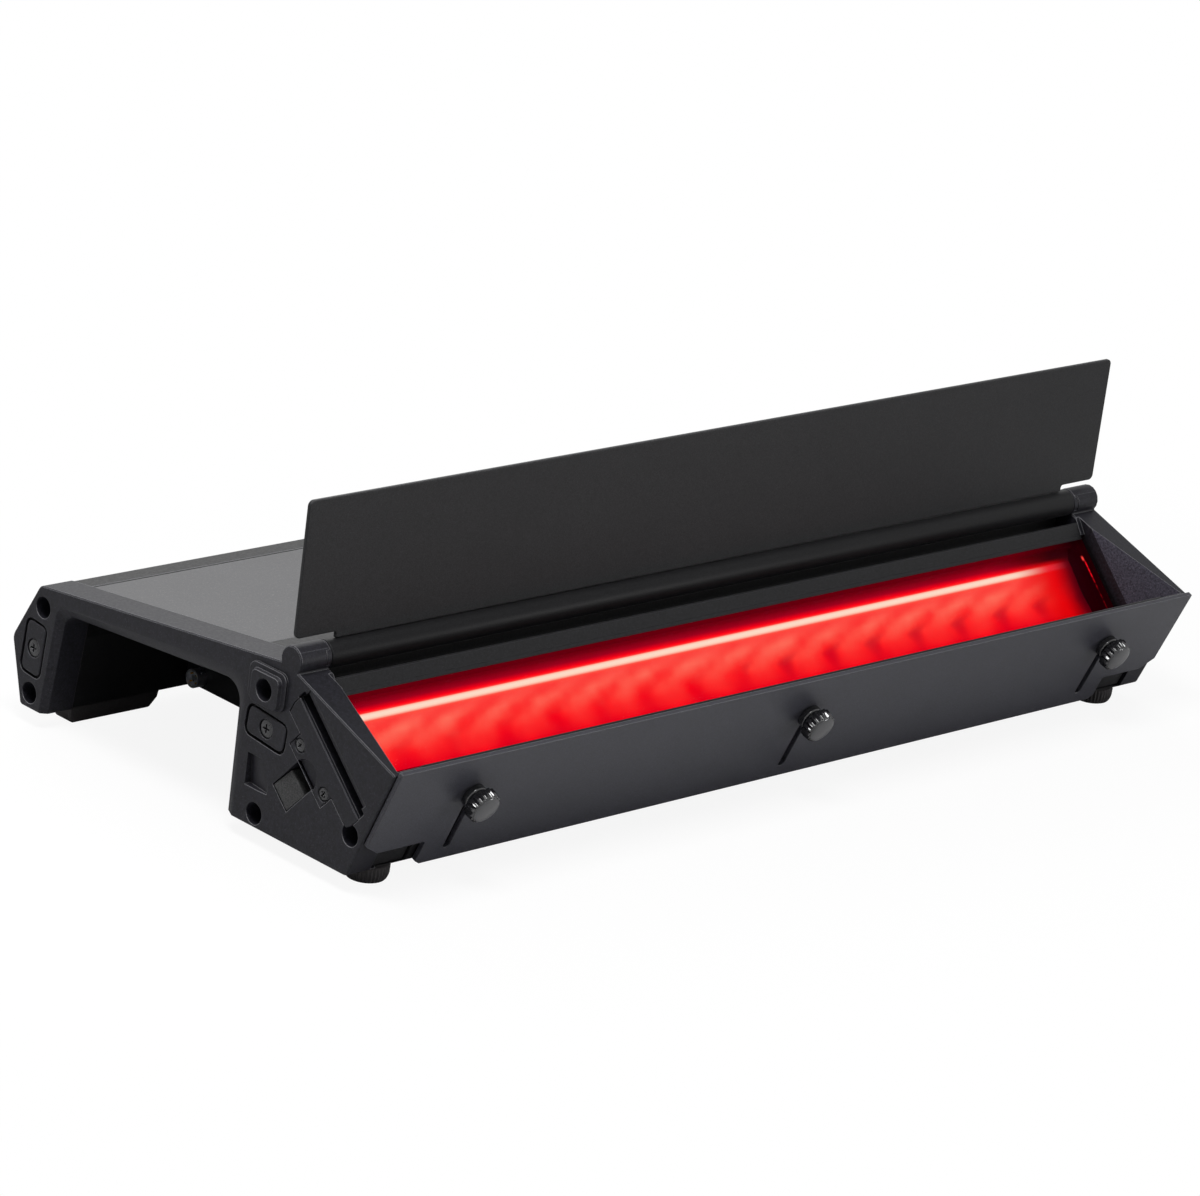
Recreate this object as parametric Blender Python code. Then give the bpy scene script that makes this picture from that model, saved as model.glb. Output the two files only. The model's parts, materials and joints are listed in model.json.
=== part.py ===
"""Cyclorama footlight: a long low floor fixture with a lit slot, a hinged door and a sliding glare plate.

X runs along the fixture, the lit front faces -Y and +Z is up. Sections are drawn as (back, up) pairs, with
back measured from the front lip and up from the underside of the legs. Lengths are in metres.
"""

import math

import bmesh
import bpy
from mathutils import Matrix, Vector

# Overall size
LENGTH = 0.600
DEPTH = 0.2913
FOOT_HEIGHT = 0.0090
CAP_THICKNESS = 0.0200
GAP = 0.0003

# Front wall and top slope of the section
LIP_HEIGHT = 0.0615
FRONT_TILT = 22.66
SLOPE_ANGLE = 19.5
BAND_TOP_BACK = 0.0716
BAND_RUN = 0.0071
BAND_DROP = 0.0105
BAND_FACE = 0.0091
LEDGE_REACH = 0.0085
LENS_TILT = 44.5
LIP_WALL = 0.0036
TROUGH_DROP = 0.0424
TROUGH_REACH = 0.0030
FLARE_LIFT = 0.0066

# Hinge of the door
HINGE_BEHIND_BAND = 0.0092
HINGE_ABOVE_SLOPE = 0.0030
EAR_RADIUS = 0.0077
BARREL_CLEARANCE = 0.0007
PIN_RADIUS = 0.0030
PIN_REACH = 0.0150
RUNNING_GAP = 0.00008

# Deck and rear of the section
DECK_BELOW_HINGE = 0.00163
DECK_FALL = 7.04
REAR_SLOPE_RUN = 0.0183
REAR_CORNER_HEIGHT = 0.0345
REAR_TUCK = 0.0108
DECK_SINK = 0.0004

# Tunnel between the two legs
FRONT_LEG_BACK = 0.1185
REAR_LEG_WIDTH = 0.0180
REAR_WALL_LEAN = 0.0077
ARCH_DROP_FRONT = 0.0185
ARCH_DROP_REAR = 0.0129
ARCH_FLARE = 0.0075
ARCH_FLARE_REAR = 0.0030
ARCH_FLARE_DEPTH = 0.0040

# Door
DOOR_HEIGHT = 0.0825
DOOR_THICKNESS = 0.0020
DOOR_SLOT_HEIGHT = 0.0035
DOOR_SLOT_REACH = 0.0270
DOOR_CORNER = 0.0030

# Glare plate and its thumb screws
PLATE_THICKNESS = 0.0025
PLATE_LENGTH = 0.0697
PLATE_RISE = 0.0030
PLATE_SIDE_LENGTH = 0.0510
PLATE_END_GAP = 0.0015
NOTCH_OUTER = 0.0110
NOTCH_WIDTH = 0.0320
SCREW_SPREAD = 0.80
SCREW_DOWN = 0.0225
SLOT_WIDTH = 0.0044
PLATE_TRAVEL = 0.0340
KNOB_RADIUS = 0.0094
KNOB_HEIGHT = 0.0085
KNOB_SCALLOPS = 18
WASHER_THICKNESS = 0.0040
WASHER_RADIUS = 0.0068
SHANK_BITE = 0.0030

# Push buttons
BUTTON_WIDTH = 0.0220
BUTTON_HEIGHT = 0.0110
BUTTON_DEPTH = 0.0028
BUTTON_SINK = 0.0015
BUTTON_TRAVEL = 0.0014
BUTTON_LEDGE = 0.0012
BUTTON_OUTER = 0.0160

# Feet
FRONT_FOOT_RADIUS = 0.0118
FRONT_FOOT_BACK = 0.0372
FRONT_FOOT_OUTER = 0.0246
FRONT_FOOT_RIBS = 22
STUD_RADIUS = 0.0025
STUD_LENGTH = 0.0120
STUD_FLOOR = 0.0025
FOOT_TRAVEL = 0.0040
REAR_FOOT_LENGTH = 0.0600
REAR_FOOT_WIDTH = 0.0130

# End face: holes, boss and pockets
HOLE_RADIUS = 0.0058
HOLE_DEPTH = 0.0140
BOSS_HEIGHT = 0.0032
BOSS_HALF_BACK = 0.0118
BOSS_HALF_UP = 0.0098
BOSS_STEP_HEIGHT = 0.0014
BOSS_STEP_RIM = 0.0018
LINK_PLATE_LONG = 0.0285
LINK_PLATE_SHORT = 0.0152
LINK_PLATE_CORNER = 0.0035
LINK_PLATE_THICKNESS = 0.0024
LINK_GROOVE = 0.0011
LINK_TILT = 5.5
LINK_SCREW_RADIUS = 0.0048
LINK_SCREW_SINK = 0.0016
LINK_SCREW_DEPTH = 0.0120
COVER_SCREW_RADIUS = 0.0034
COVER_SCREW_SINK = 0.0012
HEAD_CLEARANCE = 0.0004

# Latch on the end face
LATCH_ANGLE = 42.4
COVER_LENGTH = 0.0677
COVER_WIDTH = 0.0106
COVER_TAB_WIDTH = 0.0104
COVER_TAB_START = 0.0144
COVER_TAB_LENGTH = 0.0356
COVER_THICKNESS = 0.0022
BLADE_SLOT_WIDTH = 0.0056
BLADE_SLOT_DEPTH = 0.0140
BLADE_SLOT_CHAMFER = 0.0038
LATCH_LENGTH = 0.0150
LATCH_TRAVEL = 0.0075
LATCH_SIDE_GAP = 0.0004
LATCH_DEPTH = 0.0080
SCOOP_RADIUS = 0.0088

# Light chamber
WINDOW_THICKNESS = 0.0026
WINDOW_LENGTH = 0.0480
WINDOW_COVERED = 0.0020
CHAMBER_LENGTH = 0.0410
CHAMBER_DEPTH = 0.0270
LED_COUNT = 17
BOARD_END_SPACE = 0.0100
BOARD_HALF_WIDTH = 0.0100
REFLECTOR_END_SPACE = 0.0090

# Service box in the tunnel
SERVICE_HALF_FRACTION = 0.6833
SERVICE_WALL = 0.0016
SERVICE_FLOOR = 0.0040
PANEL_THICKNESS = 0.0020
DATA_SOCKET_RADIUS = 0.0052
POWER_SOCKET_RADIUS = 0.0125
SUPPLY_FRONT = 0.0100
SUPPLY_WIDTH = 0.0520
SUPPLY_HEIGHT = 0.0340
DRIVER_FRONT = 0.0120
DRIVER_WIDTH = 0.0680

# Values that follow from the sizes above
HALF = LENGTH / 2
INNER = HALF - CAP_THICKNESS
TILT = math.radians(FRONT_TILT)
SLOPE = math.tan(math.radians(SLOPE_ANGLE))
FALL = math.tan(math.radians(DECK_FALL))
HINGE_BACK = BAND_TOP_BACK + HINGE_BEHIND_BAND
HINGE_UP = LIP_HEIGHT + SLOPE * HINGE_BACK + HINGE_ABOVE_SLOPE
BARREL_RADIUS = EAR_RADIUS - 0.0002


def deck_up(back):
    """Height of the deck line at this distance behind the lip."""
    return HINGE_UP - DECK_BELOW_HINGE - FALL * (back - HINGE_BACK)


def slope_up(back):
    """Height of the top slope at this distance behind the lip."""
    return LIP_HEIGHT + SLOPE * back


# Frames that pieces are drawn in: origin as (back, up) and turn about X
LEVEL = (0.0, 0.0, 0.0)
WALL = (0.0, LIP_HEIGHT, TILT)
LENS = (BAND_TOP_BACK - BAND_RUN, slope_up(BAND_TOP_BACK) - BAND_DROP, -math.radians(LENS_TILT))
LATCH = (0.0717, 0.0769, math.radians(LATCH_ANGLE))
AXIS = (HINGE_BACK, HINGE_UP, 0.0)


def clear_scene():
    """Remove everything that the startup scene holds."""
    for thing in list(bpy.data.objects):
        bpy.data.objects.remove(thing)


def material(name, colour, roughness, metallic=0.0):
    """A plain Principled material in the colour that the photograph shows."""
    made = bpy.data.materials.new(name)
    made.use_nodes = True
    shader = made.node_tree.nodes["Principled BSDF"]
    shader.inputs["Base Color"].default_value = (*colour, 1.0)
    shader.inputs["Roughness"].default_value = roughness
    shader.inputs["Metallic"].default_value = metallic
    return made


def rounded(corners, step=18.0):
    """An outline from (back, up, radius) corners, each radius drawn as an arc."""
    points = []
    count = len(corners)
    for index, (back, up, radius) in enumerate(corners):
        here = Vector((back, up))
        if radius <= 0:
            points.append((back, up))
            continue
        before = (Vector(corners[index - 1][:2]) - here).normalized()
        after = (Vector(corners[(index + 1) % count][:2]) - here).normalized()
        half = before.angle(after) / 2
        reach = radius / math.tan(half)
        centre = here + (before + after).normalized() * (radius / math.sin(half))
        start = here + before * reach - centre
        turn = start.angle_signed(here + after * reach - centre)
        pieces = max(2, math.ceil(abs(math.degrees(turn)) / step))
        for piece in range(pieces + 1):
            angle = -turn * piece / pieces
            points.append(tuple(centre + Matrix.Rotation(angle, 2) @ start))
    return points


def arc(centre, radius, first, last, pieces):
    """Points on a circle between two angles in degrees, measured from straight back towards up."""
    points = []
    for piece in range(pieces + 1):
        angle = math.radians(first + (last - first) * piece / pieces)
        points.append((centre[0] + radius * math.cos(angle), centre[1] + radius * math.sin(angle)))
    return points


def rounded_box(half_back, half_up, radius):
    """Outline of a box with round corners about the origin."""
    return rounded([(-half_back, -half_up, radius), (half_back, -half_up, radius),
                    (half_back, half_up, radius), (-half_back, half_up, radius)], 30)


def add_prism(shape, outline, low, high, end_scale=1.0):
    """Extrude an outline of (back, up) points from one x to the other."""
    verts = [shape.verts.new((low, back, up)) for back, up in outline]
    face = shape.faces.new(verts)
    made = bmesh.ops.extrude_face_region(shape, geom=[face])
    moved = [item for item in made["geom"] if isinstance(item, bmesh.types.BMVert)]
    bmesh.ops.translate(shape, verts=moved, vec=(high - low, 0, 0))
    if end_scale != 1.0:
        middle = sum((vert.co for vert in moved), Vector()) / len(moved)
        bmesh.ops.scale(shape, verts=moved, vec=(1, end_scale, end_scale),
                        space=Matrix.Translation(-middle))


def add_box(shape, x_range, y_range, z_range):
    """A plain box between the given limits."""
    lows = Vector((min(x_range), min(y_range), min(z_range)))
    highs = Vector((max(x_range), max(y_range), max(z_range)))
    size = highs - lows
    place = Matrix.Translation((lows + highs) / 2) @ Matrix.Diagonal((*size, 1))
    bmesh.ops.create_cube(shape, size=1, matrix=place)


def add_lathe(shape, profile, centre, axis="Z", segments=24):
    """Spin (radius, height) pairs about an axis through centre. The profile starts and ends on the axis."""
    verts = [shape.verts.new((radius, 0, height)) for radius, height in profile]
    edges = [shape.edges.new(pair) for pair in zip(verts, verts[1:])]
    spun = bmesh.ops.spin(shape, geom=verts + edges, cent=(0, 0, 0), axis=(0, 0, 1),
                          angle=2 * math.pi, steps=segments, use_merge=True)
    reached = {vert for vert in verts if vert.is_valid}
    frontier = list(reached)
    while frontier:
        vert = frontier.pop()
        for edge in vert.link_edges:
            other = edge.other_vert(vert)
            if other not in reached:
                reached.add(other)
                frontier.append(other)
    del spun
    whole = list(reached)
    bmesh.ops.remove_doubles(shape, verts=whole, dist=1e-6)
    whole = [vert for vert in whole if vert.is_valid]
    turn = {"Z": Matrix(), "X": Matrix.Rotation(math.pi / 2, 4, "Y"),
            "-X": Matrix.Rotation(-math.pi / 2, 4, "Y"), "-Y": Matrix.Rotation(math.pi / 2, 4, "X")}[axis]
    bmesh.ops.transform(shape, verts=whole, matrix=Matrix.Translation(centre) @ turn)


def bar(radius, length):
    """Profile of a plain cylinder that starts at height zero."""
    return [(0, 0), (radius, 0), (radius, length), (0, length)]


def sunk_bar(radius, length, head, sink):
    """Profile of a screw hole with a wider recess for the head at its mouth."""
    return [(0, 0), (head, 0), (head, sink), (radius, sink), (radius, length), (0, length)]


def publish(name, shape, frame=LEVEL, finish=None, origin=(0, 0, 0)):
    """Turn a shape drawn in one frame into an object whose origin is the given point of that frame."""
    bmesh.ops.recalc_face_normals(shape, faces=shape.faces)
    if shape.calc_volume(signed=True) < 0:
        bmesh.ops.reverse_faces(shape, faces=shape.faces)
    bmesh.ops.translate(shape, verts=shape.verts, vec=-Vector(origin))
    mesh = bpy.data.meshes.new(name)
    shape.to_mesh(mesh)
    shape.free()
    made = bpy.data.objects.new(name, mesh)
    bpy.context.scene.collection.objects.link(made)
    turn = Matrix.Rotation(frame[2], 4, "X")
    made.rotation_euler = (frame[2], 0, 0)
    made.location = Vector((0, frame[0], frame[1])) + turn @ Vector(origin)
    if finish:
        mesh.materials.append(finish)
    return made


def cutter(name, shape, frame=LEVEL):
    """A helper that only cuts other pieces."""
    made = publish(name, shape, frame)
    made.hide_render = True
    made.display_type = "WIRE"
    return made


def cut(target, *tools, operation="DIFFERENCE"):
    """Add one exact Boolean for each tool."""
    for tool in tools:
        step = target.modifiers.new(tool.name, "BOOLEAN")
        step.operation = operation
        step.solver = "EXACT"
        step.object = tool


def bevel(target, width, segments=1, angle=40):
    """Round the sharp edges of a piece."""
    step = target.modifiers.new("edges", "BEVEL")
    step.width = width
    step.segments = segments
    step.limit_method = "ANGLE"
    step.angle_limit = math.radians(angle)
    step.harden_normals = False


def smooth(target, angle=30):
    """Shade a round piece smooth, with its real edges kept sharp."""
    target.data.polygons.foreach_set("use_smooth", [True] * len(target.data.polygons))
    target.data.set_sharp_from_angle(angle=math.radians(angle))


def side_name(base, side):
    """The name of a piece at one end: -1 is left and 1 is right."""
    return base + ("_left" if side < 0 else "_right")


def crossing(frame_up, centre, radius, forward):
    """Where a line up = frame_up(back) crosses a circle, on its front or its back side."""
    slope = frame_up(1.0) - frame_up(0.0)
    base = frame_up(centre[0]) - centre[1]
    spread = math.sqrt((1 + slope ** 2) * radius ** 2 - base ** 2)
    offset = (-slope * base + (-spread if forward else spread)) / (1 + slope ** 2)
    return centre[0] + offset, centre[1] + base + slope * offset


def angle_of(point, centre):
    """Angle of a point about a centre, in degrees."""
    return math.degrees(math.atan2(point[1] - centre[1], point[0] - centre[0]))


def arch_corners(flare=0.0, flare_rear=0.0, floor=-0.002):
    """Corners of the tunnel between the legs, wider by the flare."""
    front = FRONT_LEG_BACK - flare
    foot = DEPTH - REAR_TUCK - REAR_LEG_WIDTH
    rear = foot - REAR_WALL_LEAN
    return [(foot + flare_rear, floor, 0),
            (rear + flare_rear, deck_up(rear) - ARCH_DROP_REAR + flare * 0.6, 0.008),
            (front, deck_up(front) - ARCH_DROP_FRONT + flare, 0.011),
            (front, floor, 0)]


def cap_outline():
    """Outline of the end cap, with its hinge ear."""
    centre = (HINGE_BACK, HINGE_UP)
    front_cross = crossing(slope_up, centre, EAR_RADIUS, True)
    rear_cross = crossing(deck_up, centre, EAR_RADIUS, False)
    front_angle = angle_of(front_cross, centre) % 360
    rear_angle = angle_of(rear_cross, centre)
    foot_front = LIP_HEIGHT * math.tan(TILT)
    rear_top = DEPTH - REAR_SLOPE_RUN
    before = rounded([(foot_front, 0, 0.003), (0, LIP_HEIGHT, 0.0012), (*front_cross, 0), (*rear_cross, 0),
                      (rear_top, deck_up(rear_top), 0.005), (DEPTH, REAR_CORNER_HEIGHT, 0.006),
                      (DEPTH - REAR_TUCK, 0, 0.002)])
    ear = arc(centre, EAR_RADIUS, front_angle, rear_angle, 11)
    place = before.index(tuple(front_cross))
    return before[:place] + ear + before[place + 2:]


def arch_cutter(side):
    """The tunnel as it goes through an end cap, flared towards the end face."""
    outer = rounded(arch_corners(ARCH_FLARE, ARCH_FLARE_REAR))
    inner = rounded(arch_corners())
    shape = bmesh.new()
    loops = []
    places = [(HALF + 0.002, outer), (HALF, outer), (HALF - ARCH_FLARE_DEPTH, inner), (INNER - 0.002, inner)]
    for x, outline in places:
        verts = [shape.verts.new((side * x, back, up)) for back, up in outline]
        loops.append([shape.edges.new((verts[i], verts[i - 1])) for i in range(len(verts))])
    for near, far in zip(loops, loops[1:]):
        bmesh.ops.bridge_loops(shape, edges=near + far)
    bmesh.ops.holes_fill(shape, edges=loops[0] + loops[-1])
    return cutter(side_name("cut_arch", side), shape)


def in_lens_frame(depth, along):
    """Section position of a point given in the frame of the window: depth behind it and distance up it."""
    turned = Matrix.Rotation(LENS[2], 2) @ Vector((depth, along))
    return LENS[0] + turned.x, LENS[1] + turned.y


def flare_cutter(side):
    """The lit trough where it runs into an end cap, opening out towards the front lip."""
    wall = INNER + TROUGH_REACH
    top = Vector((wall, *in_lens_frame(-FLARE_LIFT, 0)))
    low = Vector((wall, *in_lens_frame(-FLARE_LIFT, -0.045)))
    crease_back, crease_front = 0.0610, 0.0036
    rear = Vector((wall + 0.0003, crease_back, slope_up(crease_back)))
    front = Vector((HALF - 0.0040, crease_front, slope_up(crease_front)))
    facet = [top, low + (low - top) * 0.1, front + (front - low) * 0.25, rear + (rear - top) * 3]
    shape = bmesh.new()
    for point in facet:
        for x in (point.x, point.x - 0.020):
            shape.verts.new((side * x, point.y, point.z))
    bmesh.ops.convex_hull(shape, input=shape.verts)
    return cutter(side_name("cut_flare", side), shape)


def trough_cutter():
    """The open trough in front of the window, drawn as one prism."""
    wall = LIP_WALL / math.cos(TILT)
    low = in_lens_frame(0, -TROUGH_DROP)
    band_top = (BAND_TOP_BACK, slope_up(BAND_TOP_BACK))
    beyond = (band_top[0] + BAND_RUN, band_top[1] + BAND_DROP)
    front_low = (wall + (LIP_HEIGHT - low[1]) * math.tan(TILT), low[1])
    shape = bmesh.new()
    outline = [low, LENS[:2], band_top, beyond, (wall, LIP_HEIGHT + 0.040), (wall, LIP_HEIGHT), front_low]
    reach = INNER + TROUGH_REACH
    add_prism(shape, outline, -reach, reach)
    return cutter("cut_trough", shape)


def ledge_cutter():
    """The housing cut back between the band's upper edge and the hinge barrel."""
    share = BAND_FACE / math.hypot(BAND_RUN, BAND_DROP)
    edge = (LENS[0] + BAND_RUN * share, LENS[1] + BAND_DROP * share)
    rear = (edge[0] + LEDGE_REACH, edge[1] + LEDGE_REACH * SLOPE)
    above = 0.004
    outline = [edge, rear, (rear[0], slope_up(rear[0]) + above), (LENS[0], slope_up(LENS[0]) + above)]
    shape = bmesh.new()
    add_prism(shape, outline, -INNER - 0.001, INNER + 0.001)
    return cutter("cut_ledge", shape)


def window_low():
    """Lower edge of the window, in the frame of the window."""
    return WINDOW_COVERED - WINDOW_LENGTH


def window_seat_cutter():
    """The groove that takes the window's edges and its two ends."""
    shape = bmesh.new()
    reach = INNER + TROUGH_REACH
    add_box(shape, (-reach, reach), (-0.002, WINDOW_THICKNESS + 2 * GAP),
            (window_low() - GAP, WINDOW_COVERED + GAP))
    return cutter("cut_window_seat", shape, LENS)


END_HOLES = ((FRONT_LEG_BACK - 0.0239, 0.0735), (FRONT_LEG_BACK - 0.0230, 0.0072), (0.0260, 0.0216),
             (DEPTH - 0.0223, 0.0568), (DEPTH - 0.0175, 0.0084))
LINK_PLATES = (("front", FRONT_LEG_BACK - 0.0251, 0.0529, False), ("rear", DEPTH - 0.0175, 0.0330, True))


def link_outline(back, up, upright, grow=0.0):
    """Round-cornered outline of a link plate, turned a little as on the end face."""
    half_back = (LINK_PLATE_SHORT if upright else LINK_PLATE_LONG) / 2 + grow
    half_up = (LINK_PLATE_LONG if upright else LINK_PLATE_SHORT) / 2 + grow
    turn = Matrix.Rotation(math.radians(LINK_TILT), 2)
    points = []
    for point in rounded_box(half_back, half_up, LINK_PLATE_CORNER + grow):
        moved = turn @ Vector(point)
        points.append((back + moved.x, up + moved.y))
    return points


def hole_cutter(side):
    """All plain round holes of one end face, and the threaded holes of its screws."""
    shape = bmesh.new()
    face = side * (HALF + BOSS_HEIGHT + 0.001)
    axis = "X" if side < 0 else "-X"
    for back, up in END_HOLES:
        add_lathe(shape, bar(HOLE_RADIUS, HOLE_DEPTH + BOSS_HEIGHT + 0.001), (face, back, up), axis, 20)
    for _, back, up, _ in LINK_PLATES:
        add_lathe(shape, bar(0.0022 + GAP, LINK_SCREW_DEPTH + BOSS_HEIGHT + 0.001), (face, back, up), axis, 12)
    return cutter(side_name("cut_holes", side), shape)


def link_pocket_cutter(side):
    """Recesses that take the link plates, with the dark groove left round each."""
    shape = bmesh.new()
    for _, back, up, upright in LINK_PLATES:
        outline = link_outline(back, up, upright, LINK_GROOVE)
        add_prism(shape, outline, side * (HALF + 0.003), side * (HALF - LINK_PLATE_THICKNESS - GAP))
    return cutter(side_name("cut_link_pockets", side), shape)


def cover_outline(grow=0.0):
    """Outline of the latch cover in the latch frame: a long strip with a tab for its two screws."""
    tab_end = COVER_TAB_START + COVER_TAB_LENGTH
    low = -COVER_WIDTH - COVER_TAB_WIDTH - grow
    return [(grow, grow), (grow, -COVER_WIDTH * 0.5), (-0.0018 + grow, -COVER_WIDTH - grow),
            (-COVER_TAB_START + grow, -COVER_WIDTH - grow), (-COVER_TAB_START + grow, low),
            (-tab_end - grow, low), (-tab_end - grow, -COVER_WIDTH - grow),
            (-COVER_LENGTH + 0.0012 - grow, -COVER_WIDTH - grow), (-COVER_LENGTH - grow, -COVER_WIDTH * 0.6),
            (-COVER_LENGTH - grow, grow)]


def cover_cutter(side):
    """Shallow seat of the latch cover."""
    shape = bmesh.new()
    add_prism(shape, cover_outline(GAP), side * (HALF + 0.002), side * (HALF - COVER_THICKNESS - GAP))
    return cutter(side_name("cut_cover", side), shape, LATCH)


def latch_span():
    """Where the latch block and its pocket lie along the cover: start and end."""
    middle = COVER_TAB_START + COVER_TAB_LENGTH / 2
    return middle - LATCH_LENGTH / 2, middle + LATCH_LENGTH / 2


def blade_cutter(side):
    """Deep slot beside the cover, the pocket of the latch block and the screw holes of the cover."""
    shape = bmesh.new()
    out = side * (HALF + 0.002)
    deep = side * (HALF - BLADE_SLOT_DEPTH)
    outline = rounded([(0.0010, -GAP * 2, 0), (0.0010, BLADE_SLOT_WIDTH, 0.001),
                       (-COVER_LENGTH, BLADE_SLOT_WIDTH, 0.001), (-COVER_LENGTH, -GAP * 2, 0)], 45)
    add_prism(shape, outline, out, deep)
    start, end = latch_span()
    edge = -COVER_WIDTH - COVER_TAB_WIDTH - 0.0005
    add_box(shape, (side * (HALF + 0.002), side * (HALF - LATCH_DEPTH - GAP)),
            (-start + LATCH_SIDE_GAP, -end - LATCH_SIDE_GAP),
            (edge, edge - LATCH_LENGTH - LATCH_TRAVEL - 2 * LATCH_SIDE_GAP - 0.0005))
    return cutter(side_name("cut_blade", side), shape, LATCH)


def chamfer_cutter(side):
    """The wide chamfer along the outer side of the deep slot."""
    shape = bmesh.new()
    reach = BLADE_SLOT_CHAMFER
    outline = [(side * (HALF + 0.002), BLADE_SLOT_WIDTH - 0.001),
               (side * (HALF + 0.002), BLADE_SLOT_WIDTH + reach + 0.002),
               (side * (HALF - 0.0001), BLADE_SLOT_WIDTH + reach),
               (side * (HALF - 0.0020), BLADE_SLOT_WIDTH - 0.001)]
    verts = [shape.verts.new((x, -0.0008, up)) for x, up in outline]
    made = bmesh.ops.extrude_face_region(shape, geom=[shape.faces.new(verts)])
    moved = [item for item in made["geom"] if isinstance(item, bmesh.types.BMVert)]
    bmesh.ops.translate(shape, verts=moved, vec=(0, -COVER_LENGTH + 0.0038, 0))
    return cutter(side_name("cut_chamfer", side), shape, LATCH)


def wedge_cutter(side):
    """Shallow pocket on the front leg, deep at its lower rear corner."""
    shape = bmesh.new()
    rear, front, low = FRONT_LEG_BACK - 0.0137, FRONT_LEG_BACK - 0.0325, 0.0195
    verts = [(HALF + 0.002, rear, low), (HALF + 0.002, rear, low + 0.0180), (HALF + 0.002, front, low + 0.0180),
             (HALF + 0.002, front, low), (HALF - 0.0035, rear - 0.0008, low + 0.0008),
             (HALF - 0.0025, rear - 0.0008, low + 0.0167), (HALF - 0.0010, front + 0.0025, low + 0.0008)]
    for x, back, up in verts:
        shape.verts.new((side * x, back, up))
    bmesh.ops.convex_hull(shape, input=shape.verts)
    return cutter(side_name("cut_wedge", side), shape)


def button_cutter(side):
    """Pocket of a push button, open towards the front."""
    shape = bmesh.new()
    middle = side * (HALF - BUTTON_OUTER - BUTTON_WIDTH / 2)
    half = BUTTON_WIDTH / 2 + 2 * GAP
    high = BUTTON_HEIGHT / 2 + 2 * GAP
    add_box(shape, (middle - half, middle + half),
            (-0.004, BUTTON_SINK + BUTTON_DEPTH + BUTTON_TRAVEL + 2 * GAP),
            (-button_down() - high, -button_down() + high))
    return cutter(side_name("cut_button", side), shape, WALL)


def button_down():
    """Distance of the button's middle below the lip, along the front wall."""
    return LIP_HEIGHT / math.cos(TILT) - BUTTON_HEIGHT / 2 - BUTTON_LEDGE


def boss_shape(side, grow=0.0):
    """Chamfered pad round the upper hole of the end face."""
    shape = bmesh.new()
    back, up = END_HOLES[0]
    size = BOSS_HALF_BACK + grow
    base = [(back + y, up + z) for y, z in rounded_box(size, BOSS_HALF_UP + grow, 0.0035)]
    low = side * (HALF - 0.001)
    high = side * (HALF + BOSS_HEIGHT)
    if grow:
        low, high = side * (HALF + 0.002), side * (HALF - BOSS_HEIGHT - grow)
    add_prism(shape, base, low, high, (size - 0.0018) / size)
    return shape


def boss_step_shape(side, grow=0.0):
    """Low step that frames the upper part of the pad."""
    shape = bmesh.new()
    back, up = END_HOLES[0]
    rim = BOSS_STEP_RIM
    half_up = BOSS_HALF_UP + 0.2 * rim + grow
    base = rounded_box(BOSS_HALF_BACK + rim + grow, half_up, 0.0045)
    low, high = side * (HALF - 0.001), side * (HALF + BOSS_STEP_HEIGHT)
    if grow:
        low, high = side * (HALF + 0.002), side * (HALF - BOSS_STEP_HEIGHT - grow)
    add_prism(shape, [(back + y, up + 0.8 * rim + z) for y, z in base], low, high)
    return shape


def make_end_cap(side, finish):
    """Cast end cap with ear, flared tunnel, link holes, latch seat and pockets."""
    shape = bmesh.new()
    add_prism(shape, cap_outline(), side * HALF, side * INNER)
    cap = publish(side_name("end_cap", side), shape, finish=finish)
    bevel(cap, 0.0006)
    if side < 0:
        cut(cap, cutter("add_boss", boss_shape(side)), cutter("add_boss_step", boss_step_shape(side)),
            operation="UNION")
    else:
        cut(cap, cutter("cut_boss_seat", boss_shape(side, GAP)),
            cutter("cut_boss_step_seat", boss_step_shape(side, GAP)))
    pin = bmesh.new()
    add_lathe(pin, bar(PIN_RADIUS + RUNNING_GAP, 0.04), (side * (HALF - 0.004), 0, 0),
              "X" if side < 0 else "-X", 20)
    pin_hole = cutter(side_name("cut_pin", side), pin, AXIS)
    cut(cap, arch_cutter(side), bpy.data.objects["cut_trough"], bpy.data.objects["cut_window_seat"],
        flare_cutter(side), hole_cutter(side), link_pocket_cutter(side),
        cover_cutter(side), blade_cutter(side), chamfer_cutter(side), wedge_cutter(side), pin_hole,
        bpy.data.objects[side_name("cut_button", side)], cover_hole_cutter(side))
    return cap


def cover_hole_cutter(side):
    """Holes in the end cap under the two cover screws."""
    shape = bmesh.new()
    for along, across in cover_screw_places():
        add_lathe(shape, bar(0.0015 + GAP, 0.0100), (side * (HALF + 0.001), -along, across),
                  "X" if side < 0 else "-X", 12)
    return cutter(side_name("cut_cover_screws", side), shape, LATCH)


def cover_screw_places():
    """The two cover screws, as distance along the cover and across it."""
    across = -COVER_WIDTH - COVER_TAB_WIDTH * 0.42
    return ((COVER_TAB_START + 0.0042, across),
            (COVER_TAB_START + COVER_TAB_LENGTH - 0.0042, across))


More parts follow.
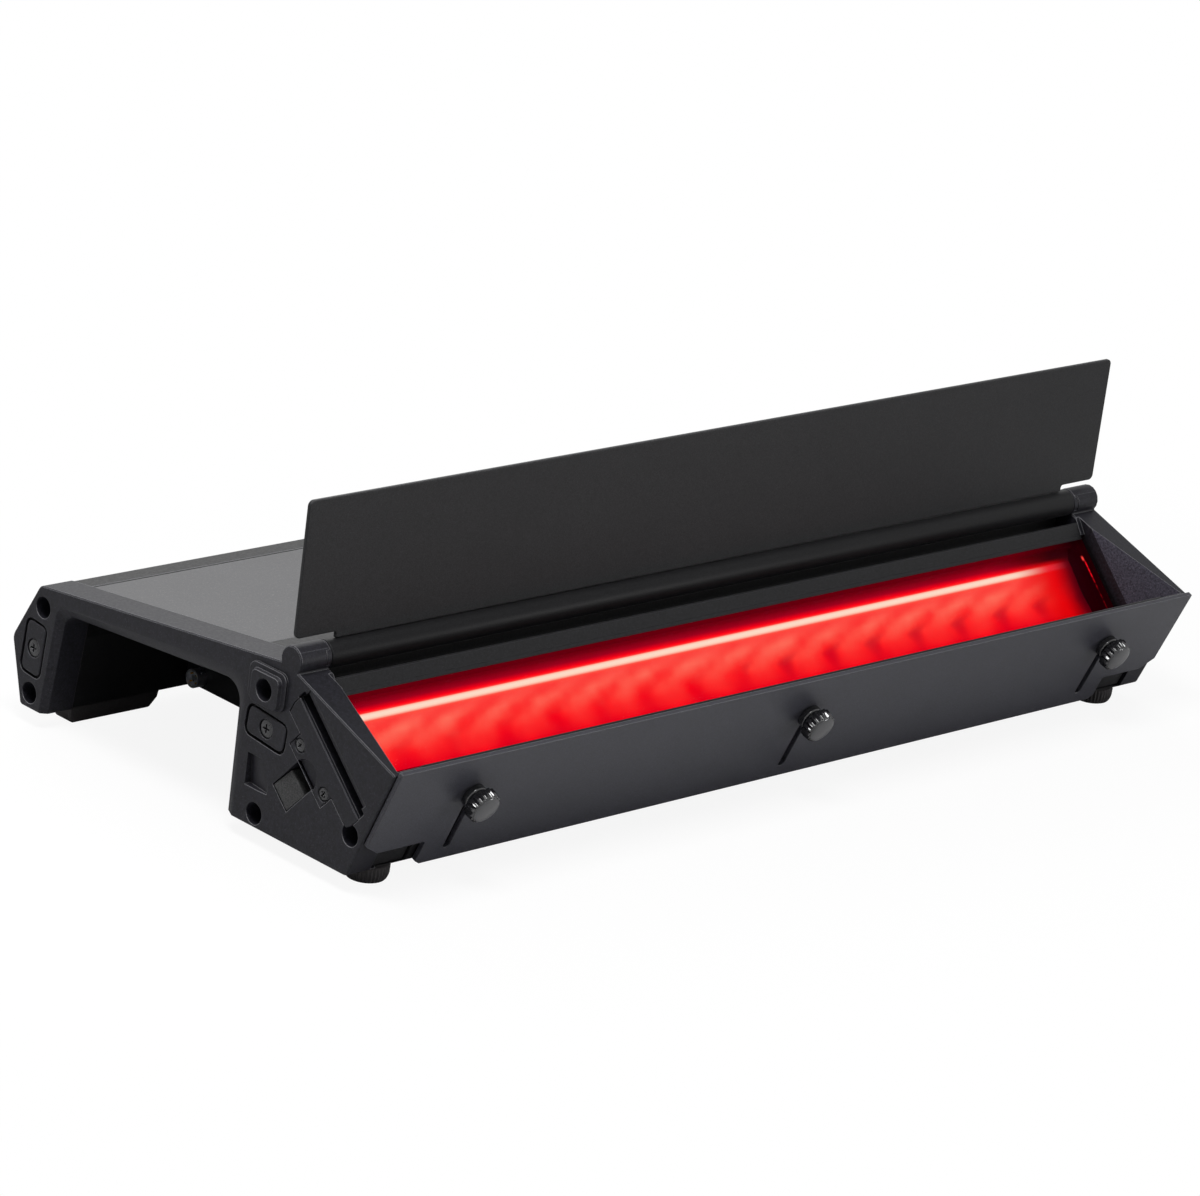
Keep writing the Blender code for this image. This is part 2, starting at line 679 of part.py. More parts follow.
def make_latch_cover(side, finish):
    """Flush cover with a thumb scoop beside the latch block."""
    shape = bmesh.new()
    add_prism(shape, cover_outline(), side * HALF, side * (HALF - COVER_THICKNESS))
    cover = publish(side_name("latch_cover", side), shape, LATCH, finish)
    scoop = bmesh.new()
    start, end = latch_span()
    edge = -COVER_WIDTH - COVER_TAB_WIDTH
    add_lathe(scoop, [(0, 0), (SCOOP_RADIUS, 0), (SCOOP_RADIUS * 0.86, 0.0024), (0, 0.0024)],
              (side * (HALF + 0.0008), -(start + end) / 2, edge), "X" if side < 0 else "-X", 24)
    profile = sunk_bar(0.0015 + GAP, 0.0060, COVER_SCREW_RADIUS + HEAD_CLEARANCE, 0.001 + COVER_SCREW_SINK)
    for along, across in cover_screw_places():
        add_lathe(scoop, profile, (side * (HALF + 0.001), -along, across), "X" if side < 0 else "-X", 16)
    cut(cover, cutter(side_name("cut_scoop", side), scoop, LATCH))
    return cover


def make_screw(name, side, x, back, up, radius, length, finish, frame=LEVEL):
    """Round-headed screw with a cross recess, seated on the end face."""
    shape = bmesh.new()
    shank = radius * 0.42
    head = radius * 0.24
    profile = [(0, -length), (shank, -length), (shank, GAP), (radius, GAP), (radius * 0.93, GAP + head * 0.6),
               (radius * 0.55, GAP + head), (0, GAP + head)]
    add_lathe(shape, profile, (x, back, up), "X" if side > 0 else "-X", 16)
    made = publish(name, shape, frame, finish, origin=(x, back, up))
    cross = bmesh.new()
    reach = radius * 0.50
    arm = radius * 0.11
    star = [(arm, arm), (arm, reach), (-arm, reach), (-arm, arm), (-reach, arm), (-reach, -arm),
            (-arm, -arm), (-arm, -reach), (arm, -reach), (arm, -arm), (reach, -arm), (reach, arm)]
    outline = [(back + y, up + z) for y, z in star]
    add_prism(cross, outline, x + side * (head + 0.001), x + side * (GAP - head * 0.6))
    cut(made, cutter("cut_" + name, cross, frame))
    smooth(made)
    return made


def make_link_plate(side, where, back, up, upright, finish):
    """Round-cornered plate flush with the end face, with a screw hole in its middle."""
    shape = bmesh.new()
    outer = side * HALF
    add_prism(shape, link_outline(back, up, upright), outer, side * (HALF - LINK_PLATE_THICKNESS))
    made = publish(side_name("link_plate_" + where, side), shape, finish=finish)
    bevel(made, 0.0004)
    hole = bmesh.new()
    profile = sunk_bar(0.0022 + GAP, 0.006, LINK_SCREW_RADIUS + HEAD_CLEARANCE, 0.002 + LINK_SCREW_SINK)
    add_lathe(hole, profile, (side * (HALF + 0.002), back, up), "X" if side < 0 else "-X", 16)
    cut(made, cutter(side_name("cut_link_hole_" + where, side), hole))
    return made


def make_latch_block(side, finish):
    """Sliding latch block with a slanted outer face."""
    start, end = latch_span()
    edge = -COVER_WIDTH - COVER_TAB_WIDTH - 0.0005 - LATCH_TRAVEL - LATCH_SIDE_GAP - 0.0003
    centre = (side * (HALF - LATCH_DEPTH / 2), -(start + end) / 2, edge - LATCH_LENGTH / 2)
    shape = bmesh.new()
    add_box(shape, (side * HALF, side * (HALF - LATCH_DEPTH)), (-start, -end), (edge, edge - LATCH_LENGTH))
    for vert in shape.verts:
        if abs(vert.co.x) > HALF - 1e-5 and vert.co.z > edge - 1e-5:
            vert.co.x -= side * 0.0016
    return publish(side_name("latch_block", side), shape, LATCH, finish, origin=centre)


def make_optic_housing(finish):
    """Front body: wall, open trough, window seat, light chamber, hinge cradle and hollow leg."""
    centre = (HINGE_BACK, HINGE_UP)
    radius = BARREL_RADIUS + BARREL_CLEARANCE
    sink = DECK_SINK

    def low_slope(back):
        return slope_up(back) - sink

    def low_deck(back):
        return deck_up(back) - sink

    front = crossing(low_slope, centre, radius, True)
    rear = crossing(low_deck, centre, radius, False)
    cradle = arc(centre, radius, angle_of(front, centre) % 360, angle_of(rear, centre) + 360, 8)
    foot_front = LIP_HEIGHT * math.tan(TILT)
    outline = rounded([(foot_front + sink, sink, 0.003), (sink, LIP_HEIGHT - sink, 0.001), (*front, 0),
                       (*rear, 0), (FRONT_LEG_BACK, low_deck(FRONT_LEG_BACK), 0), (FRONT_LEG_BACK, sink, 0)])
    place = outline.index(tuple(front))
    outline = outline[:place] + cradle + outline[place + 2:]
    shape = bmesh.new()
    add_prism(shape, outline, -INNER + GAP, INNER - GAP)
    housing = publish("optic_housing", shape, finish=finish)
    chamber = bmesh.new()
    middle = chamber_middle()
    add_box(chamber, (-INNER + 0.006, INNER - 0.006), (0.001, CHAMBER_DEPTH),
            (middle - CHAMBER_LENGTH / 2, middle + CHAMBER_LENGTH / 2))
    cells = bmesh.new()
    wall = 0.0055
    rear_cell = [(0.0885, wall), (FRONT_LEG_BACK - wall, wall),
                 (FRONT_LEG_BACK - wall, deck_up(FRONT_LEG_BACK) - wall - 0.003), (0.0965, 0.0800),
                 (0.0885, 0.0680)]
    front_cell = [(0.0420, wall), (0.0835, wall), (0.0835, 0.0515), (0.0560, 0.0230)]
    for cell in (rear_cell, front_cell):
        add_prism(cells, rounded([(*point, 0.0015) for point in cell], 90), -INNER - 0.001, INNER + 0.001)
    studs = bmesh.new()
    for side in (-1, 1):
        add_lathe(studs, bar(STUD_RADIUS + GAP, STUD_LENGTH + 0.004),
                  (side * (HALF - FRONT_FOOT_OUTER), FRONT_FOOT_BACK, -0.002), "Z", 16)
    bores = bmesh.new()
    for step in (-1, 0, 1):
        add_lathe(bores, bar(SLOT_WIDTH / 2, SHANK_BITE + 0.0005 + 0.002),
                  (step * HALF * SCREW_SPREAD, SHANK_BITE + 0.0005, -SCREW_DOWN), "-Y", 12)
    cut(housing, trough_cutter(), ledge_cutter(), window_seat_cutter(),
        cutter("cut_chamber", chamber, LENS), cutter("cut_cells", cells), cutter("cut_studs", studs),
        cutter("cut_bores", bores, WALL),
        bpy.data.objects["cut_button_left"], bpy.data.objects["cut_button_right"])
    return housing


def make_deck(finish):
    """Hollow deck extrusion over the tunnel."""
    front = FRONT_LEG_BACK + GAP
    rear = rear_split() - GAP
    sink = DECK_SINK
    outline = [(front, deck_up(front) - sink), (front, deck_up(front) - ARCH_DROP_FRONT),
               (rear, deck_up(rear) - ARCH_DROP_REAR), (rear, deck_up(rear) - sink)]
    shape = bmesh.new()
    add_prism(shape, outline, -INNER + GAP, INNER - GAP)
    deck = publish("deck", shape, finish=finish)
    cells = bmesh.new()
    count = 4
    width = (rear - front - 0.003) / count
    for index in range(count):
        low = front + 0.003 + index * width
        high = low + width - 0.003
        corners = [(low, deck_up(low) - 0.0035), (low, deck_up(low) - 0.0098),
                   (high, deck_up(high) - 0.0098), (high, deck_up(high) - 0.0035)]
        add_prism(cells, corners, -INNER - 0.001, INNER + 0.001)
    groove = bmesh.new()
    add_prism(groove, [(rear - 0.0022, deck_up(rear) + 0.001), (rear - 0.0022, deck_up(rear) - 0.0016),
                       (rear - 0.0010, deck_up(rear) - 0.0016), (rear - 0.0010, deck_up(rear) + 0.001)],
              -INNER - 0.001, INNER + 0.001)
    cut(deck, cutter("cut_deck_cells", cells), cutter("cut_deck_groove", groove))
    return deck


def rear_split():
    """Where the deck ends and the rear leg starts."""
    return DEPTH - REAR_TUCK - REAR_LEG_WIDTH - 0.0055


def rear_wall(up):
    """Inner face of the rear leg at this height."""
    foot = DEPTH - REAR_TUCK - REAR_LEG_WIDTH
    height = deck_up(foot - REAR_WALL_LEAN) - ARCH_DROP_REAR
    return foot - REAR_WALL_LEAN * up / height


def rear_leg_corners(sink):
    """Corners of the rear leg, drawn in by the same small amount as the deck."""
    split = rear_split()
    top = DEPTH - REAR_SLOPE_RUN
    foot = DEPTH - REAR_TUCK - REAR_LEG_WIDTH
    height = deck_up(foot - REAR_WALL_LEAN) - ARCH_DROP_REAR
    bend = (foot - split) / REAR_WALL_LEAN * height
    return [(split, bend, 0), (split, deck_up(split) - sink, 0), (top - sink, deck_up(top) - sink, 0.005),
            (DEPTH - sink, REAR_CORNER_HEIGHT, 0.006), (DEPTH - REAR_TUCK - sink, sink, 0.002),
            (foot, sink, 0)]


def make_rear_leg(finish):
    """Hollow rear leg extrusion."""
    shape = bmesh.new()
    add_prism(shape, rounded(rear_leg_corners(DECK_SINK)), -INNER + GAP, INNER - GAP)
    leg = publish("rear_leg", shape, finish=finish)
    cell = bmesh.new()
    split = rear_split()
    corners = [(split + 0.0045, REAR_CORNER_HEIGHT + 0.002, 0.001),
               (split + 0.0045, deck_up(split) - 0.0045, 0.001),
               (DEPTH - REAR_SLOPE_RUN - 0.0030, deck_up(DEPTH - REAR_SLOPE_RUN) - 0.0045, 0.001),
               (DEPTH - 0.0050, REAR_CORNER_HEIGHT, 0.001), (DEPTH - REAR_TUCK - 0.0040, 0.0060, 0.001),
               (DEPTH - REAR_TUCK - REAR_LEG_WIDTH + 0.0040, 0.0060, 0.001)]
    add_prism(cell, rounded(corners, 90), -INNER - 0.001, INNER + 0.001)
    cut(leg, cutter("cut_leg_cell", cell))
    return leg


def make_window(finish):
    """Clear window that closes the light chamber."""
    reach = INNER + TROUGH_REACH - GAP
    shape = bmesh.new()
    add_box(shape, (-reach, reach), (GAP, GAP + WINDOW_THICKNESS), (window_low(), WINDOW_COVERED))
    return publish("lens_window", shape, LENS, finish)


def chamber_middle():
    """Middle of the light chamber along the lens plane."""
    return WINDOW_COVERED - WINDOW_LENGTH / 2


def make_led_board(finish):
    """Long light-source board on the floor of the chamber."""
    shape = bmesh.new()
    reach = INNER - BOARD_END_SPACE
    add_box(shape, (-reach, reach), (CHAMBER_DEPTH - 0.0016 - GAP, CHAMBER_DEPTH - GAP),
            (chamber_middle() - BOARD_HALF_WIDTH, chamber_middle() + BOARD_HALF_WIDTH))
    return publish("led_board", shape, LENS, finish)


def make_led_optics(finish):
    """One strip of small light optics, evenly spaced along the board."""
    shape = bmesh.new()
    base = CHAMBER_DEPTH - 0.0016 - 2 * GAP
    pitch = (2 * INNER - 3 * BOARD_END_SPACE) / LED_COUNT
    span = pitch * LED_COUNT / 2
    add_box(shape, (-span, span), (base - 0.0015, base), (chamber_middle() - 0.006, chamber_middle() + 0.006))
    strip = publish("led_optics", shape, LENS, finish)
    cones = bmesh.new()
    for index in range(LED_COUNT):
        x = -span + pitch * (index + 0.5)
        add_lathe(cones, [(0, 0), (0.0030, 0), (0.0052, 0.0065), (0, 0.0065)],
                  (x, base - 0.0012, chamber_middle()), "-Y", 10)
    cut(strip, cutter("add_cones", cones, LENS), operation="UNION")
    return strip


def make_reflector(finish):
    """Curved reflector sheet along the lower side of the chamber."""
    low = chamber_middle() - CHAMBER_LENGTH / 2 + 0.0004
    inner = []
    outer = []
    for index in range(9):
        share = index / 8
        depth = 0.0050 + (CHAMBER_DEPTH - 0.0080) * share
        rise = low + 0.0085 * share ** 2
        inner.append((depth, rise + 0.0010))
        outer.append((depth, rise))
    shape = bmesh.new()
    reach = INNER - REFLECTOR_END_SPACE
    add_prism(shape, outer + inner[::-1], -reach, reach)
    return publish("reflector", shape, LENS, finish)


def service_half():
    """Half-length of the service box."""
    return HALF * SERVICE_HALF_FRACTION


def make_service_tray(finish):
    """Folded tray that carries the supply under the deck."""
    front = FRONT_LEG_BACK + 2 * GAP
    wall = SERVICE_WALL
    front_top = deck_up(front) - ARCH_DROP_FRONT - 2 * GAP
    bend = rear_leg_corners(0)[0][1]
    rear_low = rear_wall(SERVICE_FLOOR) - 2 * GAP
    rear_mid = rear_split() - 2 * GAP
    rear_top = deck_up(rear_split()) - ARCH_DROP_REAR - 2 * GAP
    outer = [(front, front_top), (front, SERVICE_FLOOR), (rear_low, SERVICE_FLOOR), (rear_mid, bend),
             (rear_mid, rear_top)]
    inner = [(rear_mid - wall, rear_top), (rear_mid - wall, bend),
             (rear_low - wall * 1.1, SERVICE_FLOOR + wall), (front + wall, SERVICE_FLOOR + wall),
             (front + wall, front_top)]
    shape = bmesh.new()
    half = service_half() - PANEL_THICKNESS - GAP
    add_prism(shape, outer + inner, -half, half)
    return publish("service_tray", shape, finish=finish)


def socket_places():
    """Data and power socket of a bulkhead, as (back, up)."""
    return (DEPTH - 0.0423, 0.0100), (FRONT_LEG_BACK + 0.0825, 0.0360)


def make_bulkhead(side, finish):
    """Connector panel across the tunnel."""
    front = FRONT_LEG_BACK + 2 * GAP
    bend = rear_leg_corners(0)[0][1]
    outline = [(front, deck_up(front) - ARCH_DROP_FRONT - 2 * GAP), (front, SERVICE_FLOOR),
               (rear_wall(SERVICE_FLOOR) - 2 * GAP, SERVICE_FLOOR), (rear_split() - 2 * GAP, bend),
               (rear_split() - 2 * GAP, deck_up(rear_split()) - ARCH_DROP_REAR - 2 * GAP)]
    shape = bmesh.new()
    out = side * service_half()
    add_prism(shape, outline, out, out - side * PANEL_THICKNESS)
    panel = publish(side_name("bulkhead", side), shape, finish=finish)
    holes = bmesh.new()
    data, power = socket_places()
    axis = "X" if side < 0 else "-X"
    add_lathe(holes, bar(DATA_SOCKET_RADIUS * 0.8 + GAP, 0.006), (out + side * 0.002, *data), axis, 20)
    add_lathe(holes, bar(POWER_SOCKET_RADIUS * 0.8 + GAP, 0.006), (out + side * 0.002, *power), axis, 24)
    cut(panel, cutter(side_name("cut_sockets", side), holes))
    return panel


def make_socket(name, side, place, radius, length, depth, finish, segments):
    """Round panel socket with an open mouth and a centre post."""
    x = side * (service_half() + GAP)
    profile = [(0, -0.010), (radius * 0.8, -0.010), (radius * 0.8, 0), (radius, 0), (radius, length),
               (radius * 0.78, length), (radius * 0.78, length - depth), (radius * 0.34, length - depth),
               (radius * 0.34, length - 0.0012), (0, length - 0.0012)]
    shape = bmesh.new()
    add_lathe(shape, profile, (x, *place), "X" if side > 0 else "-X", segments)
    made = publish(name, shape, finish=finish, origin=(x, *place))
    smooth(made)
    return made


def make_power_supply(finish):
    """Sealed supply block on the tray."""
    shape = bmesh.new()
    floor = SERVICE_FLOOR + SERVICE_WALL + GAP
    half = service_half()
    front = FRONT_LEG_BACK + SUPPLY_FRONT
    add_box(shape, (-half * 0.78, half * 0.10), (front, front + SUPPLY_WIDTH), (floor, floor + SUPPLY_HEIGHT))
    made = publish("power_supply", shape, finish=finish)
    bevel(made, 0.0010)
    return made


def make_driver_board(finish):
    """Driver board standing on small pads, with its main parts."""
    floor = SERVICE_FLOOR + SERVICE_WALL + GAP
    half = service_half()
    left, right = half * 0.18, half * 0.82
    low = FRONT_LEG_BACK + DRIVER_FRONT
    high = low + DRIVER_WIDTH
    shape = bmesh.new()
    add_box(shape, (left, right), (low, high), (floor + 0.004, floor + 0.0056))
    board = publish("driver_board", shape, finish=finish)
    parts = bmesh.new()
    for x in (left + 0.004, right - 0.010):
        for y in (low + 0.004, high - 0.010):
            add_box(parts, (x, x + 0.006), (y, y + 0.006), (floor, floor + 0.005))
    span = right - left
    add_box(parts, (left + span * 0.30, left + span * 0.45), (low + 0.016, low + 0.036), (floor + 0.005, floor + 0.017))
    add_box(parts, (left + span * 0.55, left + span * 0.65), (low + 0.030, low + 0.050), (floor + 0.005, floor + 0.013))
    cut(board, cutter("add_board_parts", parts), operation="UNION")
    return board


def make_door(finish):
    """Thin hinged door with a slot over each ear, standing on the barrel."""
    half = HALF - 0.0002
    low = BARREL_RADIUS + GAP
    slot_top = BARREL_RADIUS + DOOR_SLOT_HEIGHT + GAP
    neck = HALF - DOOR_SLOT_REACH
    shape = bmesh.new()
    corner = DOOR_CORNER
    inner = DOOR_SLOT_HEIGHT * 0.45
    corners = [(-neck, low, 0), (neck, low, 0), (neck, slot_top, inner), (half, slot_top, corner),
               (half, DOOR_HEIGHT, corner), (-half, DOOR_HEIGHT, corner), (-half, slot_top, corner),
               (-neck, slot_top, inner)]
    verts = [shape.verts.new((x, -DOOR_THICKNESS / 2, up)) for x, up in rounded(corners, 30)]
    made = bmesh.ops.extrude_face_region(shape, geom=[shape.faces.new(verts)])
    moved = [item for item in made["geom"] if isinstance(item, bmesh.types.BMVert)]
    bmesh.ops.translate(shape, verts=moved, vec=(0, DOOR_THICKNESS, 0))
    return publish("door", shape, AXIS, finish)


def make_hinge_barrel(finish):
    """Tube between the ears that the door stands on, bored at both ends for its pins."""
    half = INNER - 2 * GAP
    shape = bmesh.new()
    bore = PIN_RADIUS + RUNNING_GAP
    deep = half - PIN_REACH - 0.001
    add_lathe(shape, [(0, -deep), (bore, -deep), (bore, -half), (BARREL_RADIUS, -half), (BARREL_RADIUS, half),
                      (bore, half), (bore, deep), (0, deep)], (0, 0, 0), "X", 32)
    barrel = publish("hinge_barrel", shape, AXIS, finish)
    smooth(barrel)
    return barrel


def make_hinge_pin(side, finish):
    """Steel pin that joins an ear to the barrel."""
    shape = bmesh.new()
    start = side * (HALF - 0.0045)
    length = CAP_THICKNESS - 0.0045 + PIN_REACH
    add_lathe(shape, bar(PIN_RADIUS, length), (start, 0, 0), "X" if side < 0 else "-X", 20)
    pin = publish(side_name("hinge_pin", side), shape, AXIS, finish)
    smooth(pin)
    return pin


def make_glare_plate(finish):
    """Long front plate with three slots and a notch for each push button."""
    half = HALF - PLATE_END_GAP
    notch_out = HALF - NOTCH_OUTER
    notch_in = notch_out - NOTCH_WIDTH
    top = PLATE_RISE
    side_low = top - PLATE_SIDE_LENGTH
    low = top - PLATE_LENGTH
    shape = bmesh.new()
    corners = [(-half, top, 0.0008), (-half, side_low + 0.003, 0), (-notch_out, side_low - 0.0030, 0),
               (-notch_in, side_low - 0.0030, 0.0012), (-notch_in - 0.0008, low + 0.0025, 0),
               (-notch_in + 0.003, low, 0), (notch_in - 0.003, low, 0), (notch_in + 0.0008, low + 0.0025, 0),
               (notch_in, side_low - 0.0030, 0.0012), (notch_out, side_low - 0.0030, 0),
               (half, side_low + 0.003, 0), (half, top, 0.0008)]
    front = -GAP - PLATE_THICKNESS
    verts = [shape.verts.new((x, front, up)) for x, up in rounded(corners, 45)]
    made = bmesh.ops.extrude_face_region(shape, geom=[shape.faces.new(verts)])
    moved = [item for item in made["geom"] if isinstance(item, bmesh.types.BMVert)]
    bmesh.ops.translate(shape, verts=moved, vec=(0, PLATE_THICKNESS, 0))
    plate = publish("glare_plate", shape, WALL, finish)
    slots = bmesh.new()
    radius = SLOT_WIDTH / 2
    for step in (-1, 0, 1):
        middle = step * HALF * SCREW_SPREAD
        high = -SCREW_DOWN
        bottom = high - PLATE_TRAVEL - 0.0005
        points = [(middle + radius * math.cos(math.radians(a)), high + radius * math.sin(math.radians(a)))
                  for a in range(0, 181, 30)]
        points += [(middle + radius * math.cos(math.radians(a)), bottom + radius * math.sin(math.radians(a)))
                   for a in range(180, 361, 30)]
        ring = [slots.verts.new((x, 0.002, up)) for x, up in points]
        grown = bmesh.ops.extrude_face_region(slots, geom=[slots.faces.new(ring)])
        ends = [item for item in grown["geom"] if isinstance(item, bmesh.types.BMVert)]
        bmesh.ops.translate(slots, verts=ends, vec=(0, -0.008, 0))
    cut(plate, cutter("cut_slots", slots, WALL))
    return plate


def make_washer(name, x, finish):
    """Flat collar between a thumb screw and the plate."""
    shape = bmesh.new()
    face = -PLATE_THICKNESS - 2 * GAP
    inner = SLOT_WIDTH / 2
    thick = WASHER_THICKNESS
    verts = [(inner, 0), (WASHER_RADIUS, 0), (WASHER_RADIUS, thick * 0.6), (WASHER_RADIUS - thick * 0.4, thick),
             (inner, thick)]
    profile = [shape.verts.new((radius, 0, height)) for radius, height in verts]
    edges = [shape.edges.new((profile[i - 1], profile[i])) for i in range(len(profile))]
    bmesh.ops.spin(shape, geom=profile + edges, cent=(0, 0, 0), axis=(0, 0, 1), angle=2 * math.pi, steps=20,
                   use_merge=True)
    bmesh.ops.remove_doubles(shape, verts=shape.verts, dist=1e-6)
    place = Matrix.Translation((x, face, -SCREW_DOWN)) @ Matrix.Rotation(math.pi / 2, 4, "X")
    bmesh.ops.transform(shape, verts=shape.verts, matrix=place)
    made = publish(name, shape, WALL, finish, origin=(x, face, -SCREW_DOWN))
    smooth(made)
    return made


def make_thumb_screw(name, x, finish):
    """Scalloped thumb screw with a domed face and a shank into the front wall."""
    face = -PLATE_THICKNESS - WASHER_THICKNESS - 3 * GAP
    shape = bmesh.new()
    shank = SLOT_WIDTH / 2 - GAP
    reach = PLATE_THICKNESS + WASHER_THICKNESS + 3 * GAP + SHANK_BITE
    rings = [(shank, -reach, 0), (shank, 0, 0), (KNOB_RADIUS * 0.62, 0, 0), (KNOB_RADIUS * 0.70, 0.0010, 0),
             (KNOB_RADIUS * 0.97, 0.0014, 1), (KNOB_RADIUS, 0.0022, 1), (KNOB_RADIUS, KNOB_HEIGHT - 0.0018, 1),
             (KNOB_RADIUS * 0.93, KNOB_HEIGHT - 0.0010, 0.35), (KNOB_RADIUS * 0.60, KNOB_HEIGHT - 0.0002, 0)]
    per = 2
    count = KNOB_SCALLOPS * per
    loops = []
    for radius, height, depth in reversed(rings):
        verts = []
        for index in range(count):
            wave = 0.5 - 0.5 * math.cos(2 * math.pi * index / per)
            here = radius * (1 - 0.085 * depth * wave)
            angle = 2 * math.pi * index / count
            verts.append(shape.verts.new((here * math.cos(angle), here * math.sin(angle), height)))
        loops.append([shape.edges.new((verts[i], verts[i - 1])) for i in range(count)])
    for low, high in zip(loops, loops[1:]):
        bmesh.ops.bridge_loops(shape, edges=low + high)
    bmesh.ops.holes_fill(shape, edges=loops[0] + loops[-1])
    place = Matrix.Translation((x, face, -SCREW_DOWN)) @ Matrix.Rotation(math.pi / 2, 4, "X")
    bmesh.ops.transform(shape, verts=shape.verts, matrix=place)
    made = publish(name, shape, WALL, finish, origin=(x, face, -SCREW_DOWN))
    smooth(made, 35)
    return made


def foot_place(side):
    """Middle of a front foot at the underside of the leg."""
    return side * (HALF - FRONT_FOOT_OUTER), FRONT_FOOT_BACK, 0


def make_front_foot(side, finish):
    """Ribbed round levelling foot with a blind socket for its stud."""
    shape = bmesh.new()
    top = -GAP
    low = -FOOT_HEIGHT
    bore = STUD_RADIUS + RUNNING_GAP
    rings = [(bore, low + STUD_FLOOR, 0), (bore, top, 0), (FRONT_FOOT_RADIUS * 0.92, top, 0),
             (FRONT_FOOT_RADIUS, top - 0.0008, 1), (FRONT_FOOT_RADIUS * 0.97, low + 0.0032, 1),
             (FRONT_FOOT_RADIUS * 0.90, low + 0.0012, 0.6), (FRONT_FOOT_RADIUS * 0.78, low, 0)]
    per = 2
    count = FRONT_FOOT_RIBS * per
    loops = []
    for radius, height, depth in rings:
        verts = []
        for index in range(count):
            here = radius - 0.0008 * depth * (index % per == 0)
            angle = 2 * math.pi * index / count
            verts.append(shape.verts.new((here * math.cos(angle), here * math.sin(angle), height)))
        loops.append([shape.edges.new((verts[i], verts[i - 1])) for i in range(count)])
    for high, below in zip(loops, loops[1:]):
        bmesh.ops.bridge_loops(shape, edges=high + below)
    bmesh.ops.holes_fill(shape, edges=loops[0] + loops[-1])
    bmesh.ops.translate(shape, verts=shape.verts, vec=foot_place(side))
    return publish(side_name("front_foot", side), shape, finish=finish, origin=foot_place(side))


def make_foot_stud(side, finish):
    """Steel stud that carries a front foot in the underside of the leg."""
    shape = bmesh.new()
    x, back, up = foot_place(side)
    low = -FOOT_HEIGHT + STUD_FLOOR + GAP
    add_lathe(shape, [(0, low), (STUD_RADIUS, low), (STUD_RADIUS, STUD_LENGTH - 0.0006),
                      (STUD_RADIUS - 0.0006, STUD_LENGTH), (0, STUD_LENGTH)], (x, back, up), "Z", 16)
    stud = publish(side_name("foot_stud", side), shape, finish=finish, origin=(x, back, up))
    smooth(stud)
    return stud


def make_rear_foot(side, finish):
    """Long rubber block under the rear leg."""
    foot = DEPTH - REAR_TUCK - REAR_LEG_WIDTH
    front = foot + 0.0015
    rear = front + REAR_FOOT_WIDTH
    start = INNER - 0.0006
    top = DECK_SINK - GAP
    outline = [(start, top), (start, -FOOT_HEIGHT + 0.002), (start - 0.002, -FOOT_HEIGHT),
               (start - REAR_FOOT_LENGTH + 0.006, -FOOT_HEIGHT), (start - REAR_FOOT_LENGTH + 0.001, -0.004),
               (start - REAR_FOOT_LENGTH, top)]
    shape = bmesh.new()
    verts = [shape.verts.new((side * x, front, up)) for x, up in outline]
    made = bmesh.ops.extrude_face_region(shape, geom=[shape.faces.new(verts)])
    moved = [item for item in made["geom"] if isinstance(item, bmesh.types.BMVert)]
    bmesh.ops.translate(shape, verts=moved, vec=(0, rear - front, 0))
    block = publish(side_name("rear_foot", side), shape, finish=finish)
    bevel(block, 0.0007)
    return block


def make_button(side, finish):
    """Push button that sits back in its pocket below the plate's notch."""
    middle = side * (HALF - BUTTON_OUTER - BUTTON_WIDTH / 2)
    down = -button_down()
    shape = bmesh.new()
    add_box(shape, (middle - BUTTON_WIDTH / 2, middle + BUTTON_WIDTH / 2),
            (BUTTON_SINK, BUTTON_SINK + BUTTON_DEPTH), (down - BUTTON_HEIGHT / 2, down + BUTTON_HEIGHT / 2))
    button = publish(side_name("push_button", side), shape, WALL, finish, origin=(middle, BUTTON_SINK, down))
    bevel(button, 0.0006)
    return button


def place_on_origin():
    """Put the middle of the footprint on the origin, with the feet's undersides at height zero."""
    bpy.context.view_layer.update()
    graph = bpy.context.evaluated_depsgraph_get()
    corners = []
    for thing in bpy.data.objects:
        if not thing.hide_render:
            shown = thing.evaluated_get(graph)
            corners += [shown.matrix_world @ vert.co for vert in shown.data.vertices]
    lows = Vector([min(corner[axis] for corner in corners) for axis in range(3)])
    highs = Vector([max(corner[axis] for corner in corners) for axis in range(3)])
    offset = Vector(((lows.x + highs.x) / 2, (lows.y + highs.y) / 2, lows.z))
    for thing in bpy.data.objects:
        thing.location -= offset


